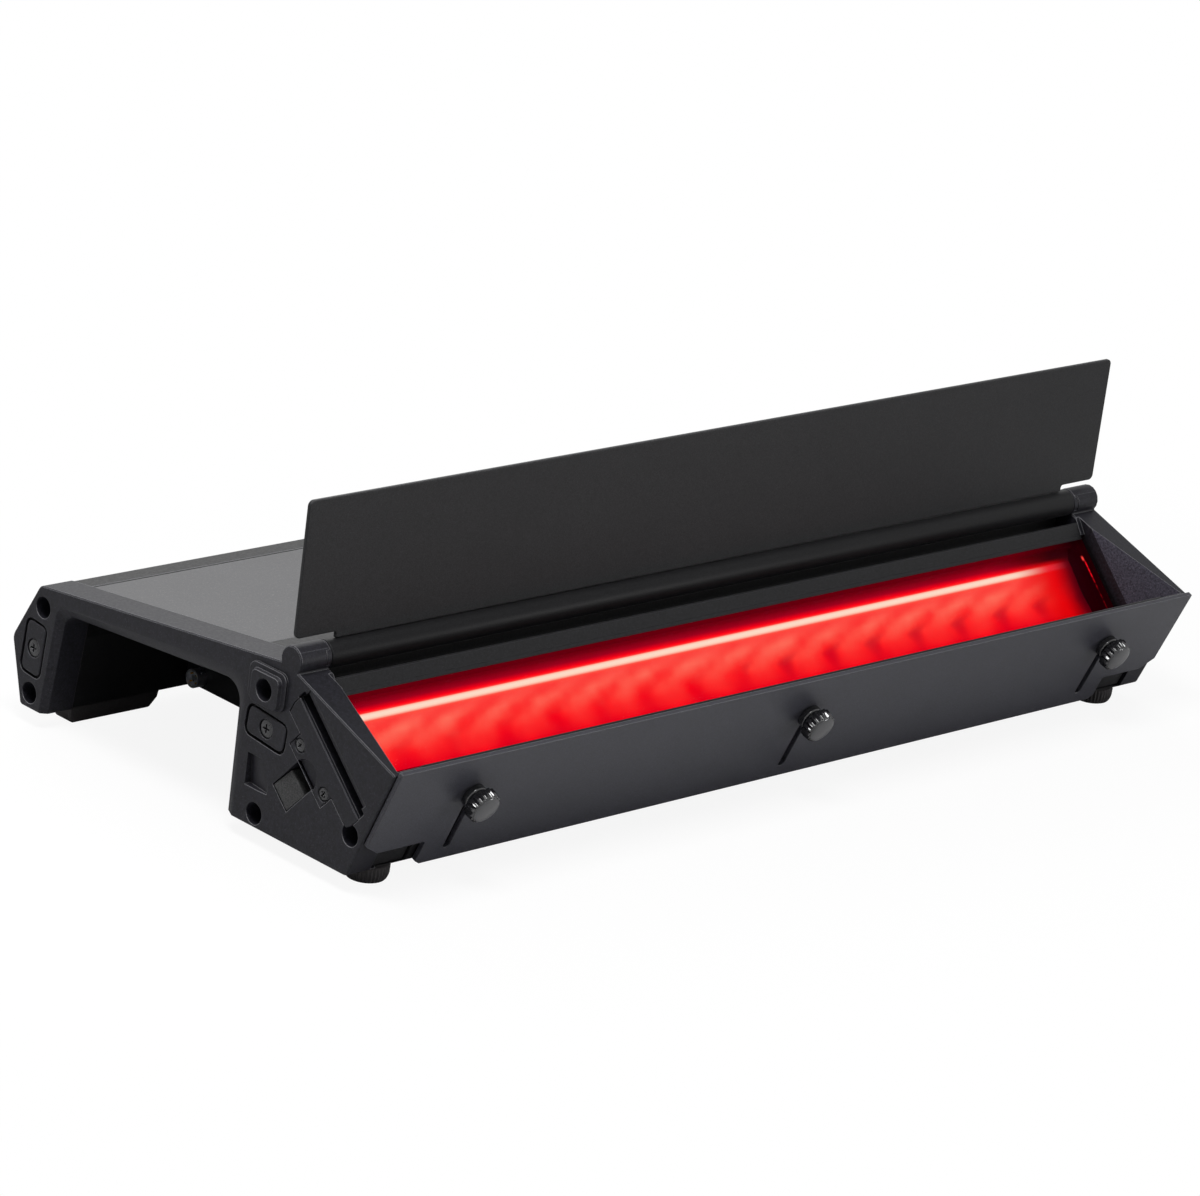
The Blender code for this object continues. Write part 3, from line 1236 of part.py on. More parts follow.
def main():
    """Build every piece of the fixture."""
    clear_scene()
    cast = material("cast_black", (0.030, 0.030, 0.034), 0.62)
    extrusion = material("extrusion_black", (0.034, 0.034, 0.038), 0.55)
    deck_paint = material("deck_grey", (0.085, 0.085, 0.092), 0.50)
    sheet = material("door_black", (0.028, 0.028, 0.031), 0.55)
    plate_paint = material("plate_black", (0.045, 0.045, 0.048), 0.48)
    rubber = material("rubber_grey", (0.045, 0.043, 0.044), 0.80)
    knob_plastic = material("knob_black", (0.012, 0.012, 0.013), 0.22)
    steel = material("screw_steel", (0.060, 0.060, 0.065), 0.38, 0.8)
    block_metal = material("latch_metal", (0.230, 0.230, 0.240), 0.45, 0.6)
    window_glow = material("window_red", (0.800, 0.030, 0.050), 0.25)
    mirror = material("reflector_metal", (0.780, 0.780, 0.790), 0.15, 1.0)
    board_green = material("board_white", (0.700, 0.710, 0.690), 0.50)
    optic_clear = material("optic_clear", (0.850, 0.850, 0.870), 0.10)
    box_black = material("box_black", (0.010, 0.010, 0.011), 0.45)
    socket_grey = material("socket_grey", (0.200, 0.200, 0.210), 0.35, 0.7)
    supply_grey = material("supply_grey", (0.350, 0.350, 0.360), 0.50, 0.4)
    driver_green = material("driver_green", (0.030, 0.160, 0.070), 0.45)

    for side in (-1, 1):
        button_cutter(side)
    make_optic_housing(extrusion)
    make_deck(deck_paint)
    make_rear_leg(extrusion)
    make_window(window_glow)
    make_reflector(mirror)
    make_led_board(board_green)
    make_led_optics(optic_clear)
    make_service_tray(box_black)
    make_power_supply(supply_grey)
    make_driver_board(driver_green)
    make_door(sheet)
    make_hinge_barrel(extrusion)
    make_glare_plate(plate_paint)
    data, power = socket_places()
    for side in (-1, 1):
        make_end_cap(side, cast)
        make_hinge_pin(side, steel)
        make_latch_cover(side, cast)
        make_latch_block(side, block_metal)
        make_bulkhead(side, box_black)
        make_socket(side_name("data_socket", side), side, data, DATA_SOCKET_RADIUS, 0.0060, 0.0045,
                    socket_grey, 20)
        make_socket(side_name("power_socket", side), side, power, POWER_SOCKET_RADIUS, 0.0080, 0.0065,
                    socket_grey, 24)
        make_front_foot(side, rubber)
        make_foot_stud(side, steel)
        make_rear_foot(side, rubber)
        make_button(side, plate_paint)
        for where, back, up, upright in LINK_PLATES:
            make_link_plate(side, where, back, up, upright, cast)
            make_screw(side_name("link_screw_" + where, side), side, side * (HALF - LINK_SCREW_SINK),
                       back, up, LINK_SCREW_RADIUS, 0.0095, steel)
        for level, (along, across) in zip(("upper", "lower"), cover_screw_places()):
            make_screw(side_name("cover_screw_" + level, side), side, side * (HALF - COVER_SCREW_SINK),
                       -along, across, COVER_SCREW_RADIUS, 0.0070, steel, LATCH)
    for name, step in (("left", -1), ("centre", 0), ("right", 1)):
        make_washer("plate_washer_" + name, step * HALF * SCREW_SPREAD, steel)
        make_thumb_screw("thumb_screw_" + name, step * HALF * SCREW_SPREAD, knob_plastic)
    place_on_origin()


if __name__ == "__main__":
    main()
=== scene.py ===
"""Cyclorama footlight: detailed pieces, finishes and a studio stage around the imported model.

Sections are drawn as (back, up) pairs, measured from the front lip and from the underside of
the legs. X runs along the fixture, the lit front faces -Y and +Z is up. Lengths are in metres.
"""

import json
import math

import bmesh
import bpy
from bpy.props import FloatProperty, FloatVectorProperty, IntProperty, PointerProperty
from bpy.types import Operator, Panel, PropertyGroup
from mathutils import Matrix, Vector

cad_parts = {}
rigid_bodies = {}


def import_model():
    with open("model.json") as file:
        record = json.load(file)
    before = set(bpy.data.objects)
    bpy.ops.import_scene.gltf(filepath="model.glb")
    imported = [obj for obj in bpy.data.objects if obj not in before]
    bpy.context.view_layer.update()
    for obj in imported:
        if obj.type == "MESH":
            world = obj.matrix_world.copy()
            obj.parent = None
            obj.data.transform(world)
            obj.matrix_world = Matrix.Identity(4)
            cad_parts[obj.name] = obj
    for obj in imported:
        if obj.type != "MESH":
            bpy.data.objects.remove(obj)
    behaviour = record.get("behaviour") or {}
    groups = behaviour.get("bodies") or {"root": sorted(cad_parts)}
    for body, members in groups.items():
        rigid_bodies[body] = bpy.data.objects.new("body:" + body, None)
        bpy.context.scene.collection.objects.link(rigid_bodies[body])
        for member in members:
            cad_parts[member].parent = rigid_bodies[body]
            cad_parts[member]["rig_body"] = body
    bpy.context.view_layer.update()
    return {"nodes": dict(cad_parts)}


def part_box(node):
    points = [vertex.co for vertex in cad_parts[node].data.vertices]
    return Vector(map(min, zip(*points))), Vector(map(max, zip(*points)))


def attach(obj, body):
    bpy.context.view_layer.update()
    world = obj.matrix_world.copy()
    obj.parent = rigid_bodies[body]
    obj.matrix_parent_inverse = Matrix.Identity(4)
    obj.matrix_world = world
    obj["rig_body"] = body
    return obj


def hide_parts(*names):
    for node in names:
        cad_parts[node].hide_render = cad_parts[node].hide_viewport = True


bl_info = {
    "name": "Cyclorama footlight",
    "version": (1, 0, 0),
    "blender": (4, 5, 0),
    "location": "3D View > Sidebar > Footlight",
    "description": "Builds the detailed pieces, finishes and stage of a cyclorama footlight",
    "category": "Object",
}

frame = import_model()

SIDES = ("left", "right")
SCREW_PLACES = ("left", "centre", "right")

# Section of the body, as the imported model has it
LIP_HEIGHT = 0.0615
FRONT_TILT = math.radians(22.66)
LENS_BACK = 0.0645
LENS_UP = 0.0764
LENS_TILT = math.radians(-44.5)
HINGE_BACK = 0.0808
GROOVE_FRONT = 0.0706
GROOVE_TOP = 0.0843
GROOVE_DEPTH = 0.0070
GROOVE_CLEAR = 0.0060
GAP = 0.0003
WINDOW_EDGE = 0.0003

# Door, hinge and linking hardware
DOOR_CORNER = 0.0030
DOOR_NECK_IN = 0.0270
DOOR_SLOT = 0.0038
PIN_BORE = 0.0031
PIN_REACH = 0.0160
BARREL_EDGE = 0.0005
EAR_RING = 0.0032
LINK_SEAM = 0.0003

# Thin wedge that fills the notch between the band and the window
TRIM_HEIGHT = 0.0023
TRIM_LEAN = 0.00042
TRIM_BACK = 0.0002

# Glare plate and thumb screws, square to the front wall
PLATE = 0.0025
COLLAR = 0.0040
COLLAR_RADIUS = 0.0068
COLLAR_BORE = 0.0022
COLLAR_EDGE = 0.0014
KNOB_DOWN = -0.0225
KNOB_RADIUS = 0.0094
KNOB_HEIGHT = 0.0085
KNOB_FACE = 0.81
SHANK = 0.0019
SHANK_END = 0.0030

# Front feet, and the circle on which the data contacts stand
FOOT_BORE = 0.0026
FOOT_RIB_DIP = 0.055
CONTACT_RING = 0.0030

# Light well behind the window, in its frame (depth behind it, distance up it), and its light bar
PANE_BACK = 0.0030
WELL_DEPTH = 0.0100
WELL_TOP = -0.0016
WELL_LOW = -0.0422
WELL_END = 0.0064
BAR_UP = -0.0097
BAR_RADIUS = 0.0020
WELL_BULGE = 0.0016
WELL_SHELL = 0.0030

# Least slant of the end caps' flares, inwards and upwards
FLARE_IN = 0.80
FLARE_UP = 0.20

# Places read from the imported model
CAP_LOW, CAP_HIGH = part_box("end_cap_right")
HALF = (CAP_HIGH.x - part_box("latch_cover_left")[0].x) / 2
INNER = HALF - (CAP_HIGH.x - CAP_LOW.x)
MIDDLE = sum(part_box("deck"), Vector()) / 2
DOOR_MIDDLE = sum(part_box("door"), Vector()) / 2
ORIGIN = Vector((MIDDLE.x, DOOR_MIDDLE.y - HINGE_BACK, CAP_LOW.z))


def section_frame(back, up, turn):
    """Matrix from a frame of the section to the frame of the object."""
    return Matrix.Translation(ORIGIN + Vector((0, back, up))) @ Matrix.Rotation(turn, 4, "X")


LEVEL = section_frame(0, 0, 0)
WALL = section_frame(0, LIP_HEIGHT, FRONT_TILT)
LENS = section_frame(LENS_BACK, LENS_UP, LENS_TILT)
# Turn that points a spun profile out of the front wall
TO_FRONT = Matrix.Rotation(math.pi / 2, 4, "X")


def about_x(side):
    """Turn that lays a spun profile along X, with its end face towards that side."""
    return Matrix.Rotation(side * math.pi / 2, 4, "Y")


# Shapes

# Most degrees of an arc that one straight piece spans
ARC_STEP = 7.0


def rounded(corners):
    """An outline from (across, up, radius) corners, each radius drawn as an arc."""
    points = []
    count = len(corners)
    for index, (across, up, radius) in enumerate(corners):
        here = Vector((across, up))
        if radius <= 0:
            points.append((across, up))
            continue
        before = (Vector(corners[index - 1][:2]) - here).normalized()
        after = (Vector(corners[(index + 1) % count][:2]) - here).normalized()
        half = before.angle(after) / 2
        reach = radius / math.tan(half)
        centre = here + (before + after).normalized() * (radius / math.sin(half))
        start = here + before * reach - centre
        turn = start.angle_signed(here + after * reach - centre)
        pieces = max(2, math.ceil(abs(math.degrees(turn)) / ARC_STEP))
        for step_on in range(pieces + 1):
            points.append(tuple(centre + Matrix.Rotation(-turn * step_on / pieces, 2) @ start))
    return points


def extruded(shape, corners, shift, place):
    """Extrude a closed ring of corners by a shift and put the result in place."""
    ring = [shape.verts.new(corner) for corner in corners]
    made = bmesh.ops.extrude_face_region(shape, geom=[shape.faces.new(ring)])
    moved = [item for item in made["geom"] if isinstance(item, bmesh.types.BMVert)]
    bmesh.ops.translate(shape, verts=moved, vec=shift)
    bmesh.ops.transform(shape, verts=ring + moved, matrix=place)


def bar(outline, reach, place):
    """A shape with one (depth, up) outline that runs along X, equally far to both sides."""
    shape = bmesh.new()
    extruded(shape, [(-reach, depth, up) for depth, up in outline], (2 * reach, 0, 0), place)
    return shape


def spun(shape, profile, place, segments):
    """Spin (radius, height) pairs about Z and put the result in place."""
    before = set(shape.verts)
    verts = [shape.verts.new((radius, 0, height)) for radius, height in profile]
    edges = [shape.edges.new(pair) for pair in zip(verts, verts[1:])]
    if profile[0][0] > 0:
        edges.append(shape.edges.new((verts[-1], verts[0])))
    bmesh.ops.spin(shape, geom=verts + edges, cent=(0, 0, 0), axis=(0, 0, 1), angle=2 * math.pi,
                   steps=segments, use_merge=True)
    bmesh.ops.remove_doubles(shape, verts=shape.verts, dist=1e-7)
    made = [vert for vert in shape.verts if vert not in before]
    bmesh.ops.transform(shape, verts=made, matrix=place)


def fluted(shape, rings, flutes, depth, place, per_flute=8):
    """Stack (radius, height, share) rings; between flutes each dips by its share of the depth."""
    count = flutes * per_flute
    loops = []
    for radius, height, share in rings:
        made = bmesh.ops.create_circle(shape, cap_ends=False, radius=radius, segments=count)
        for vert in made["verts"]:
            phase = math.atan2(vert.co.y, vert.co.x) * flutes
            dip = 1 - depth * share * (0.5 - 0.5 * math.cos(phase)) ** 0.8
            vert.co = Vector((vert.co.x * dip, vert.co.y * dip, height))
        edges = dict.fromkeys(edge for vert in made["verts"] for edge in vert.link_edges)
        loops.append(list(edges))
    for low, high in zip(loops, loops[1:]):
        bmesh.ops.bridge_loops(shape, edges=low + high)
    bmesh.ops.holes_fill(shape, edges=loops[0] + loops[-1])
    bmesh.ops.transform(shape, verts=shape.verts, matrix=place)


def arc_profile(centre, radius, first, last, pieces):
    """Profile points on a circle between two angles in degrees."""
    points = []
    for step_on in range(pieces + 1):
        angle = math.radians(first + (last - first) * step_on / pieces)
        points.append((centre[0] + radius * math.cos(angle), centre[1] + radius * math.sin(angle)))
    return points


def turn_outwards(shape):
    """Point all faces of a closed shape outwards."""
    bmesh.ops.recalc_face_normals(shape, faces=shape.faces)
    if shape.calc_volume(signed=True) < 0:
        bmesh.ops.reverse_faces(shape, faces=shape.faces)


def mesh_of(name, shape):
    """A mesh with what a shape holds."""
    mesh = bpy.data.meshes.new(name)
    shape.to_mesh(mesh)
    shape.free()
    return mesh


def put(name, data):
    """A new object in the scene."""
    made = bpy.data.objects.new(name, data)
    bpy.context.scene.collection.objects.link(made)
    return made


def piece(name, shape, finishes, body, nodes=(), smooth=32):
    """Make a finished object from a shape: it rides on a body and stands in for the given nodes."""
    turn_outwards(shape)
    mesh = mesh_of(name, shape)
    for part in ([finishes] if isinstance(finishes, str) else finishes):
        mesh.materials.append(finish(part))
    mesh.polygons.foreach_set("use_smooth", [True] * len(mesh.polygons))
    mesh.set_sharp_from_angle(angle=math.radians(smooth))
    made = put(name, mesh)
    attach(made, body)
    if nodes:
        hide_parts(*nodes)
    return made


def soften(made, width, segments=3, angle=30):
    """Round the sharp edges of a piece and even out the shading of its flat faces."""
    step = made.modifiers.new("edges", "BEVEL")
    step.width = width
    step.segments = segments
    step.limit_method = "ANGLE"
    step.angle_limit = math.radians(angle)
    even = made.modifiers.new("even shading", "WEIGHTED_NORMAL")
    even.keep_sharp = True


def carve(made, tool, smooth):
    """Cut a tool shape out of a piece and keep the result as the piece's own mesh."""
    turn_outwards(tool)
    mesh = mesh_of("tool", tool)
    helper = put("tool", mesh)
    step = made.modifiers.new("carve", "BOOLEAN")
    step.operation = "DIFFERENCE"
    step.solver = "EXACT"
    step.object = helper
    bpy.context.view_layer.update()
    result = made.evaluated_get(bpy.context.evaluated_depsgraph_get())
    carved = bpy.data.meshes.new_from_object(result)
    made.modifiers.remove(step)
    old = made.data
    made.data = carved
    carved.name = old.name
    bpy.data.meshes.remove(old)
    bpy.data.objects.remove(helper)
    bpy.data.meshes.remove(mesh)
    made.data.set_sharp_from_angle(angle=math.radians(smooth))


def dressed(node, finishes, width=0.0, segments=2, smooth=32):
    """A merged copy of a node's own solid, with its flat faces whole and its edges softened."""
    shape = bmesh.new()
    shape.from_mesh(frame["nodes"][node].data)
    bmesh.ops.remove_doubles(shape, verts=shape.verts, dist=2e-6)
    bmesh.ops.dissolve_limit(shape, angle_limit=math.radians(0.4), verts=shape.verts,
                             edges=shape.edges)
    body = frame["nodes"][node]["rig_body"]
    made = piece(node + "_detailed", shape, finishes, body, [node], smooth=smooth)
    if width:
        soften(made, width, segments, smooth)
    return made


# Finishes

# Colour of the painted shade in crevices
CREVICE_SHADE_COLOUR = (0.0012, 0.0012, 0.0013, 1.0)

# Screen colours down the lit face, in round numbers, by millimetres down the window: the hot line
# with the dark band above it, and below them the deep and the bright parts of the streaks
LINE_GLOW = ((12.0, 255, 80, 65), (10.6, 255, 215, 190), (9.2, 255, 225, 205), (8.2, 255, 200, 175),
             (7.6, 255, 45, 45), (6.6, 255, 0, 20), (4.3, 155, 0, 25), (1.6, 105, 0, 12))
DEEP_GLOW = ((42.2, 150, 0, 25), (39.5, 225, 0, 25), (30.0, 255, 0, 20), (24.0, 255, 35, 35),
             (13.0, 255, 60, 55), *LINE_GLOW)
BRIGHT_GLOW = ((42.2, 195, 0, 25), (39.5, 255, 10, 25), (32.0, 255, 50, 45), (25.0, 255, 85, 70),
               (19.0, 255, 110, 90), (14.0, 255, 80, 70), *LINE_GLOW)

# Streaks of the lit face: place of one of them, and how far and how steeply they lean over
STREAK_PLACE = 0.016
STREAK_LEAN = 0.00115
STREAK_POWER = 1.25
STREAK_DRIFT = 0.008

# Dark patches near the foot of the window: where they begin and are full, up the window
PATCH_FROM = -0.0230
PATCH_FULL = -0.0290

# Distances in from the body's end at which the lit face reddens, darkens and loses its upper band
RED_FROM = 0.058
RED_FULL = 0.024
DARK_FROM = 0.026
BAND_FROM = 0.075
BAND_FULL = 0.022

# Lines mirrored by the well's side walls: distance in from the body's ends, and height
SIDE_LINE = 0.0030
SIDE_SPOT = 0.0038
SIDE_SPOT_UP = -0.0104


def linear(red, green, blue):
    """A colour written as 0 to 255 screen values, as the shader takes it."""
    made = []
    for value in (red, green, blue):
        share = value / 255
        made.append(share / 12.92 if share <= 0.04045 else ((share + 0.055) / 1.055) ** 2.4)
    return (*made, 1.0)


def give(socket, value):
    """Link another node's output to an input, or set the input to a plain value."""
    if isinstance(value, bpy.types.NodeSocket):
        socket.id_data.links.new(value, socket)
    else:
        socket.default_value = value


def feed(node, **inputs):
    """Give a node's inputs by name, with _ for a space."""
    for name, value in inputs.items():
        give(node.inputs[name.replace("_", " ")], value)
    return node


def add_node(tree, kind, **inputs):
    """A new node with its inputs."""
    return feed(tree.nodes.new(kind), **inputs)


def sum_up(operation, first, second=0.0):
    """A Math node on a socket and another socket or a number."""
    made = first.id_data.nodes.new("ShaderNodeMath")
    made.operation = operation
    give(made.inputs[0], first)
    give(made.inputs[1], second)
    return made.outputs[0]


def times(first, second):
    """The product of a socket and another socket or a number."""
    return sum_up("MULTIPLY", first, second)


def plus(first, second):
    """The sum of a socket and another socket or a number."""
    return sum_up("ADD", first, second)


def off(value, place):
    """How far a value lies from a place."""
    return sum_up("ABSOLUTE", sum_up("SUBTRACT", value, place))


def spread(value, low, high, to_low=0.0, to_high=1.0, kind="LINEAR"):
    """A Map Range node that keeps within its ends."""
    made = add_node(value.id_data, "ShaderNodeMapRange", Value=value, From_Min=low,
                    From_Max=high, To_Min=to_low, To_Max=to_high)
    made.interpolation_type = kind
    return made.outputs[0]


def noise(source, size, detail=2.0, roughness=0.5):
    """Noise whose grains are about the given size in metres."""
    made = add_node(source.id_data, "ShaderNodeTexNoise", Vector=source, Scale=1.0 / size,
                    Detail=detail, Roughness=roughness)
    return made.outputs["Fac"]


def blend(share, first, second, mode="MIX"):
    """A colour between two colours, each of them a socket or a plain value."""
    made = share.id_data.nodes.new("ShaderNodeMix")
    made.data_type = "RGBA"
    made.blend_type = mode
    for index, value in (0, share), (6, first), (7, second):
        give(made.inputs[index], value)
    return made.outputs[2]


def ramp(value, stops):
    """A colour ramp with (position, colour) stops."""
    made = add_node(value.id_data, "ShaderNodeValToRGB", Fac=value)
    band = made.color_ramp
    while len(band.elements) < len(stops):
        band.elements.new(0.5)
    for element, (position, colour) in zip(band.elements, stops):
        element.position = position
        element.color = colour
    return made.outputs[0]


def new_finish(name, roughness, metallic=0.0, specular=0.5):
    """A material with its Principled shader and its Object coordinates."""
    made = bpy.data.materials.new(name)
    made.use_nodes = True
    tree = made.node_tree
    shader = tree.nodes["Principled BSDF"]
    feed(shader, Roughness=roughness, Metallic=metallic, Specular_IOR_Level=specular)
    place = tree.nodes.new("ShaderNodeTexCoord").outputs["Object"]
    return made, shader, place


def relieve(shader, height, distance, strength, **more):
    """Raise the surface by a height pattern."""
    bump = add_node(height.id_data, "ShaderNodeBump", Height=height, Distance=distance,
                    Strength=strength, **more)
    feed(shader, Normal=bump.outputs[0])


def scaled(colour, share=1.0):
    """The same colour, lighter or darker, with its alpha."""
    return tuple(min(1.0, value * share) for value in colour[:3]) + (1.0,)


def edge_highlight_share(tree, radius):
    """Softened normal of edges, and how strongly a point lies on an edge that faces up: the share
    of a painted edge highlight.
    """
    soft = add_node(tree, "ShaderNodeBevel", Radius=radius)
    soft.samples = 6
    flat = tree.nodes.new("ShaderNodeNewGeometry").outputs["Normal"]
    along = tree.nodes.new("ShaderNodeVectorMath")
    along.operation = "DOT_PRODUCT"
    give(along.inputs[0], soft.outputs[0])
    give(along.inputs[1], flat)
    parts = add_node(tree, "ShaderNodeSeparateXYZ", Vector=soft.outputs[0])
    # Only edges that face up get the painted highlight, as if lit from above
    lit_from_above = spread(parts.outputs["Z"], -0.05, 0.45)
    share = spread(along.outputs["Value"], 0.998, 0.90)
    return soft.outputs[0], times(share, lit_from_above)


def in_crevices(colour, reach):
    """The same colour with painted shade: darker where surfaces close in on each other."""
    open_share = add_node(colour.id_data, "ShaderNodeAmbientOcclusion", Distance=reach)
    open_share.samples = 8
    depth = spread(open_share.outputs["AO"], 0.30, 0.80, 0.85, 0.0)
    return blend(depth, colour, CREVICE_SHADE_COLOUR)


def coat_finish(name, colour, look, grain=0.0016, relief=0.00007, gloss=0.50, specular=0.16,
                edge=1.0, crevices=0.0, radius=0.0):
    """Powder coat: orange-peel grain, small colour drift, and lighter edges that face up, partly
    thin-coat wear and partly painted highlight.
    """
    made, shader, place = new_finish(name, gloss, specular=specular)
    fine = noise(place, grain, 3.0, 0.6)
    speck = noise(place, grain * 0.45, 1.0)
    broad = noise(place, 0.060)
    normal, lit_edge = edge_highlight_share(made.node_tree, radius or look.edge_radius)
    base = blend(spread(broad, 0.35, 0.65), scaled(colour, 0.93), scaled(colour, 1.07))
    base = blend(spread(fine, 0.36, 0.64), scaled(colour, 0.42), base)
    base = blend(spread(speck, 0.60, 0.74, 0.0, 0.55), base, scaled(colour, 2.6))
    # Painted highlight on upward-facing edges, partly standing for thin-coat wear
    base = blend(times(lit_edge, look.edge_highlight_level * edge), base, scaled(look.edge_highlight_colour))
    # Painted shade in crevices, from an occlusion node
    if crevices:
        base = in_crevices(base, crevices)
    feed(shader, Base_Color=base, Roughness=spread(fine, 0.3, 0.7, gloss - 0.06, gloss + 0.08))
    relieve(shader, fine, relief, 1.0, Normal=normal)
    return made


def rubber_finish(name, colour):
    """Dull moulded rubber with faint mould grain and dust."""
    made, shader, place = new_finish(name, 0.78, specular=0.25)
    fine = noise(place, 0.0009, 4.0, 0.6)
    dust = noise(place, 0.012, 4.0, 0.65)
    base = blend(spread(fine, 0.3, 0.7), scaled(colour, 0.8), scaled(colour, 1.15))
    base = blend(spread(dust, 0.55, 0.75, 0.0, 0.35), base, scaled(colour, 2.0))
    feed(shader, Base_Color=base, Roughness=spread(dust, 0.4, 0.7, 0.70, 0.88))
    relieve(shader, fine, 0.00004, 0.6)
    return made


def gloss_finish(name, colour, roughness):
    """Glossy moulded plastic with faint waviness and fine handling marks."""
    made, shader, place = new_finish(name, roughness, specular=0.75)
    wave = noise(place, 0.004)
    marks = noise(place, 0.0006, 5.0, 0.7)
    base = blend(spread(wave, 0.3, 0.7), scaled(colour, 0.8), scaled(colour, 1.2))
    feed(shader, Base_Color=base, Roughness=spread(marks, 0.45, 0.75, roughness, roughness + 0.16))
    relieve(shader, wave, 0.00003, 0.25)
    return made


def metal_finish(name, colour, roughness, metallic=1.0):
    """Bare or blackened metal with a fine tooth and drifting sheen."""
    made, shader, place = new_finish(name, roughness, metallic)
    fine = noise(place, 0.0003, 4.0, 0.7)
    broad = noise(place, 0.006, 3.0)
    base = blend(spread(fine, 0.3, 0.7), scaled(colour, 0.8), scaled(colour, 1.12))
    base = blend(spread(broad, 0.5, 0.7, 0.0, 0.25), base, scaled(colour, 1.4))
    sheen = spread(broad, 0.3, 0.7, roughness - 0.06, roughness + 0.1)
    feed(shader, Base_Color=base, Roughness=sheen)
    relieve(shader, fine, 0.00002, 0.5)
    return made


def board_finish(name, colour):
    """Circuit board lacquer over fine copper tracks."""
    made, shader, place = new_finish(name, 0.35)
    lines = add_node(made.node_tree, "ShaderNodeTexWave", Vector=place, Scale=120.0, Distortion=1.5)
    lines.bands_direction = "X"
    grain = noise(place, 0.002, 3.0)
    base = blend(spread(lines.outputs["Fac"], 0.62, 0.72), colour, scaled(colour, 1.5))
    base = blend(spread(grain, 0.4, 0.6, 0.0, 0.3), base, scaled(colour, 0.7))
    feed(shader, Base_Color=base)
    return made


def pane_finish(name):
    """Clear hard-coated window pane, faintly smoked, with a little dust."""
    made, shader, place = new_finish(name, 0.08, specular=0.25)
    dust = noise(place, 0.0011, 4.0, 0.7)
    feed(shader, Base_Color=linear(60, 0, 6), Alpha=spread(dust, 0.55, 0.8, 0.02, 0.06),
         Roughness=spread(dust, 0.4, 0.7, 0.06, 0.16))
    return made


def along_well(source):
    """Object coordinates turned into the frame of the window."""
    tree = source.id_data
    turned = add_node(tree, "ShaderNodeMapping", Vector=source, Location=LENS.to_translation(),
                      Rotation=(LENS_TILT, 0, 0))
    turned.vector_type = "TEXTURE"
    return tuple(add_node(tree, "ShaderNodeSeparateXYZ", Vector=turned.outputs[0]).outputs)


def up_the_well(stop):
    """A distance down the window in millimetres, as a share of the well's height for a ramp."""
    return (-stop / 1000 - WELL_LOW) / (WELL_TOP - WELL_LOW)


def glow_finish(name, look):
    """The lit face: a dark upper band, one hot line, then slanting streaks that fade to red."""
    made, shader, place = new_finish(name, 0.7, specular=0.0)
    x, _, up = along_well(place)
    height = spread(up, WELL_LOW, WELL_TOP)
    low, high = (ramp(height, [(up_the_well(stop), linear(*tint)) for stop, *tint in stops])
                 for stops in (DEEP_GLOW, BRIGHT_GLOW))
    rise = sum_up("MAXIMUM", plus(up, look.streak_foot))
    rise = sum_up("POWER", times(rise, 1000.0), STREAK_POWER)
    drift = times(noise(place, 0.05, 1.0), STREAK_DRIFT)
    phase = plus(plus(sum_up("SUBTRACT", x, times(rise, STREAK_LEAN)), drift), -STREAK_PLACE)
    wave = sum_up("COSINE", times(phase, 2 * math.pi / look.light_pitch))
    streak = plus(times(wave, 0.20), noise(place, 0.018))
    colour = blend(spread(streak, 0.05, 1.0, kind="SMOOTHSTEP"), low, high)
    # Dark patches between the feet of the streaks, weaker in the left half
    lower = spread(up, PATCH_FROM, PATCH_FULL, kind="SMOOTHSTEP")
    right = spread(x, -0.004, 0.002, 0.25, 1.0)
    narrowing = spread(up, -0.0385, -0.0300, -0.6, 0.0)
    gap = spread(sum_up("SUBTRACT", wave, narrowing), -0.25, -1.0)
    patch = times(times(times(lower, right), gap), 0.42)
    colour = blend(patch, colour, linear(150, 0, 34))
    # The right end reddens and then falls dark, and the upper band ends in black
    redden = spread(x, INNER - RED_FROM, INNER - RED_FULL, kind="SMOOTHSTEP")
    colour = blend(redden, colour, (0.80, 0.03, 0.06, 1.0), "MULTIPLY")
    end = spread(x, INNER - DARK_FROM, INNER - WELL_END, 0.0, 0.97, "SMOOTHSTEP")
    colour = blend(end, colour, linear(62, 0, 9))
    upper = times(spread(x, INNER - BAND_FROM, INNER - BAND_FULL), spread(up, -0.0082, -0.0050))
    colour = blend(upper, colour, linear(34, 0, 2))
    feed(shader, Base_Color=linear(40, 0, 6), Emission_Color=colour,
         Emission_Strength=look.light_strength)
    return made


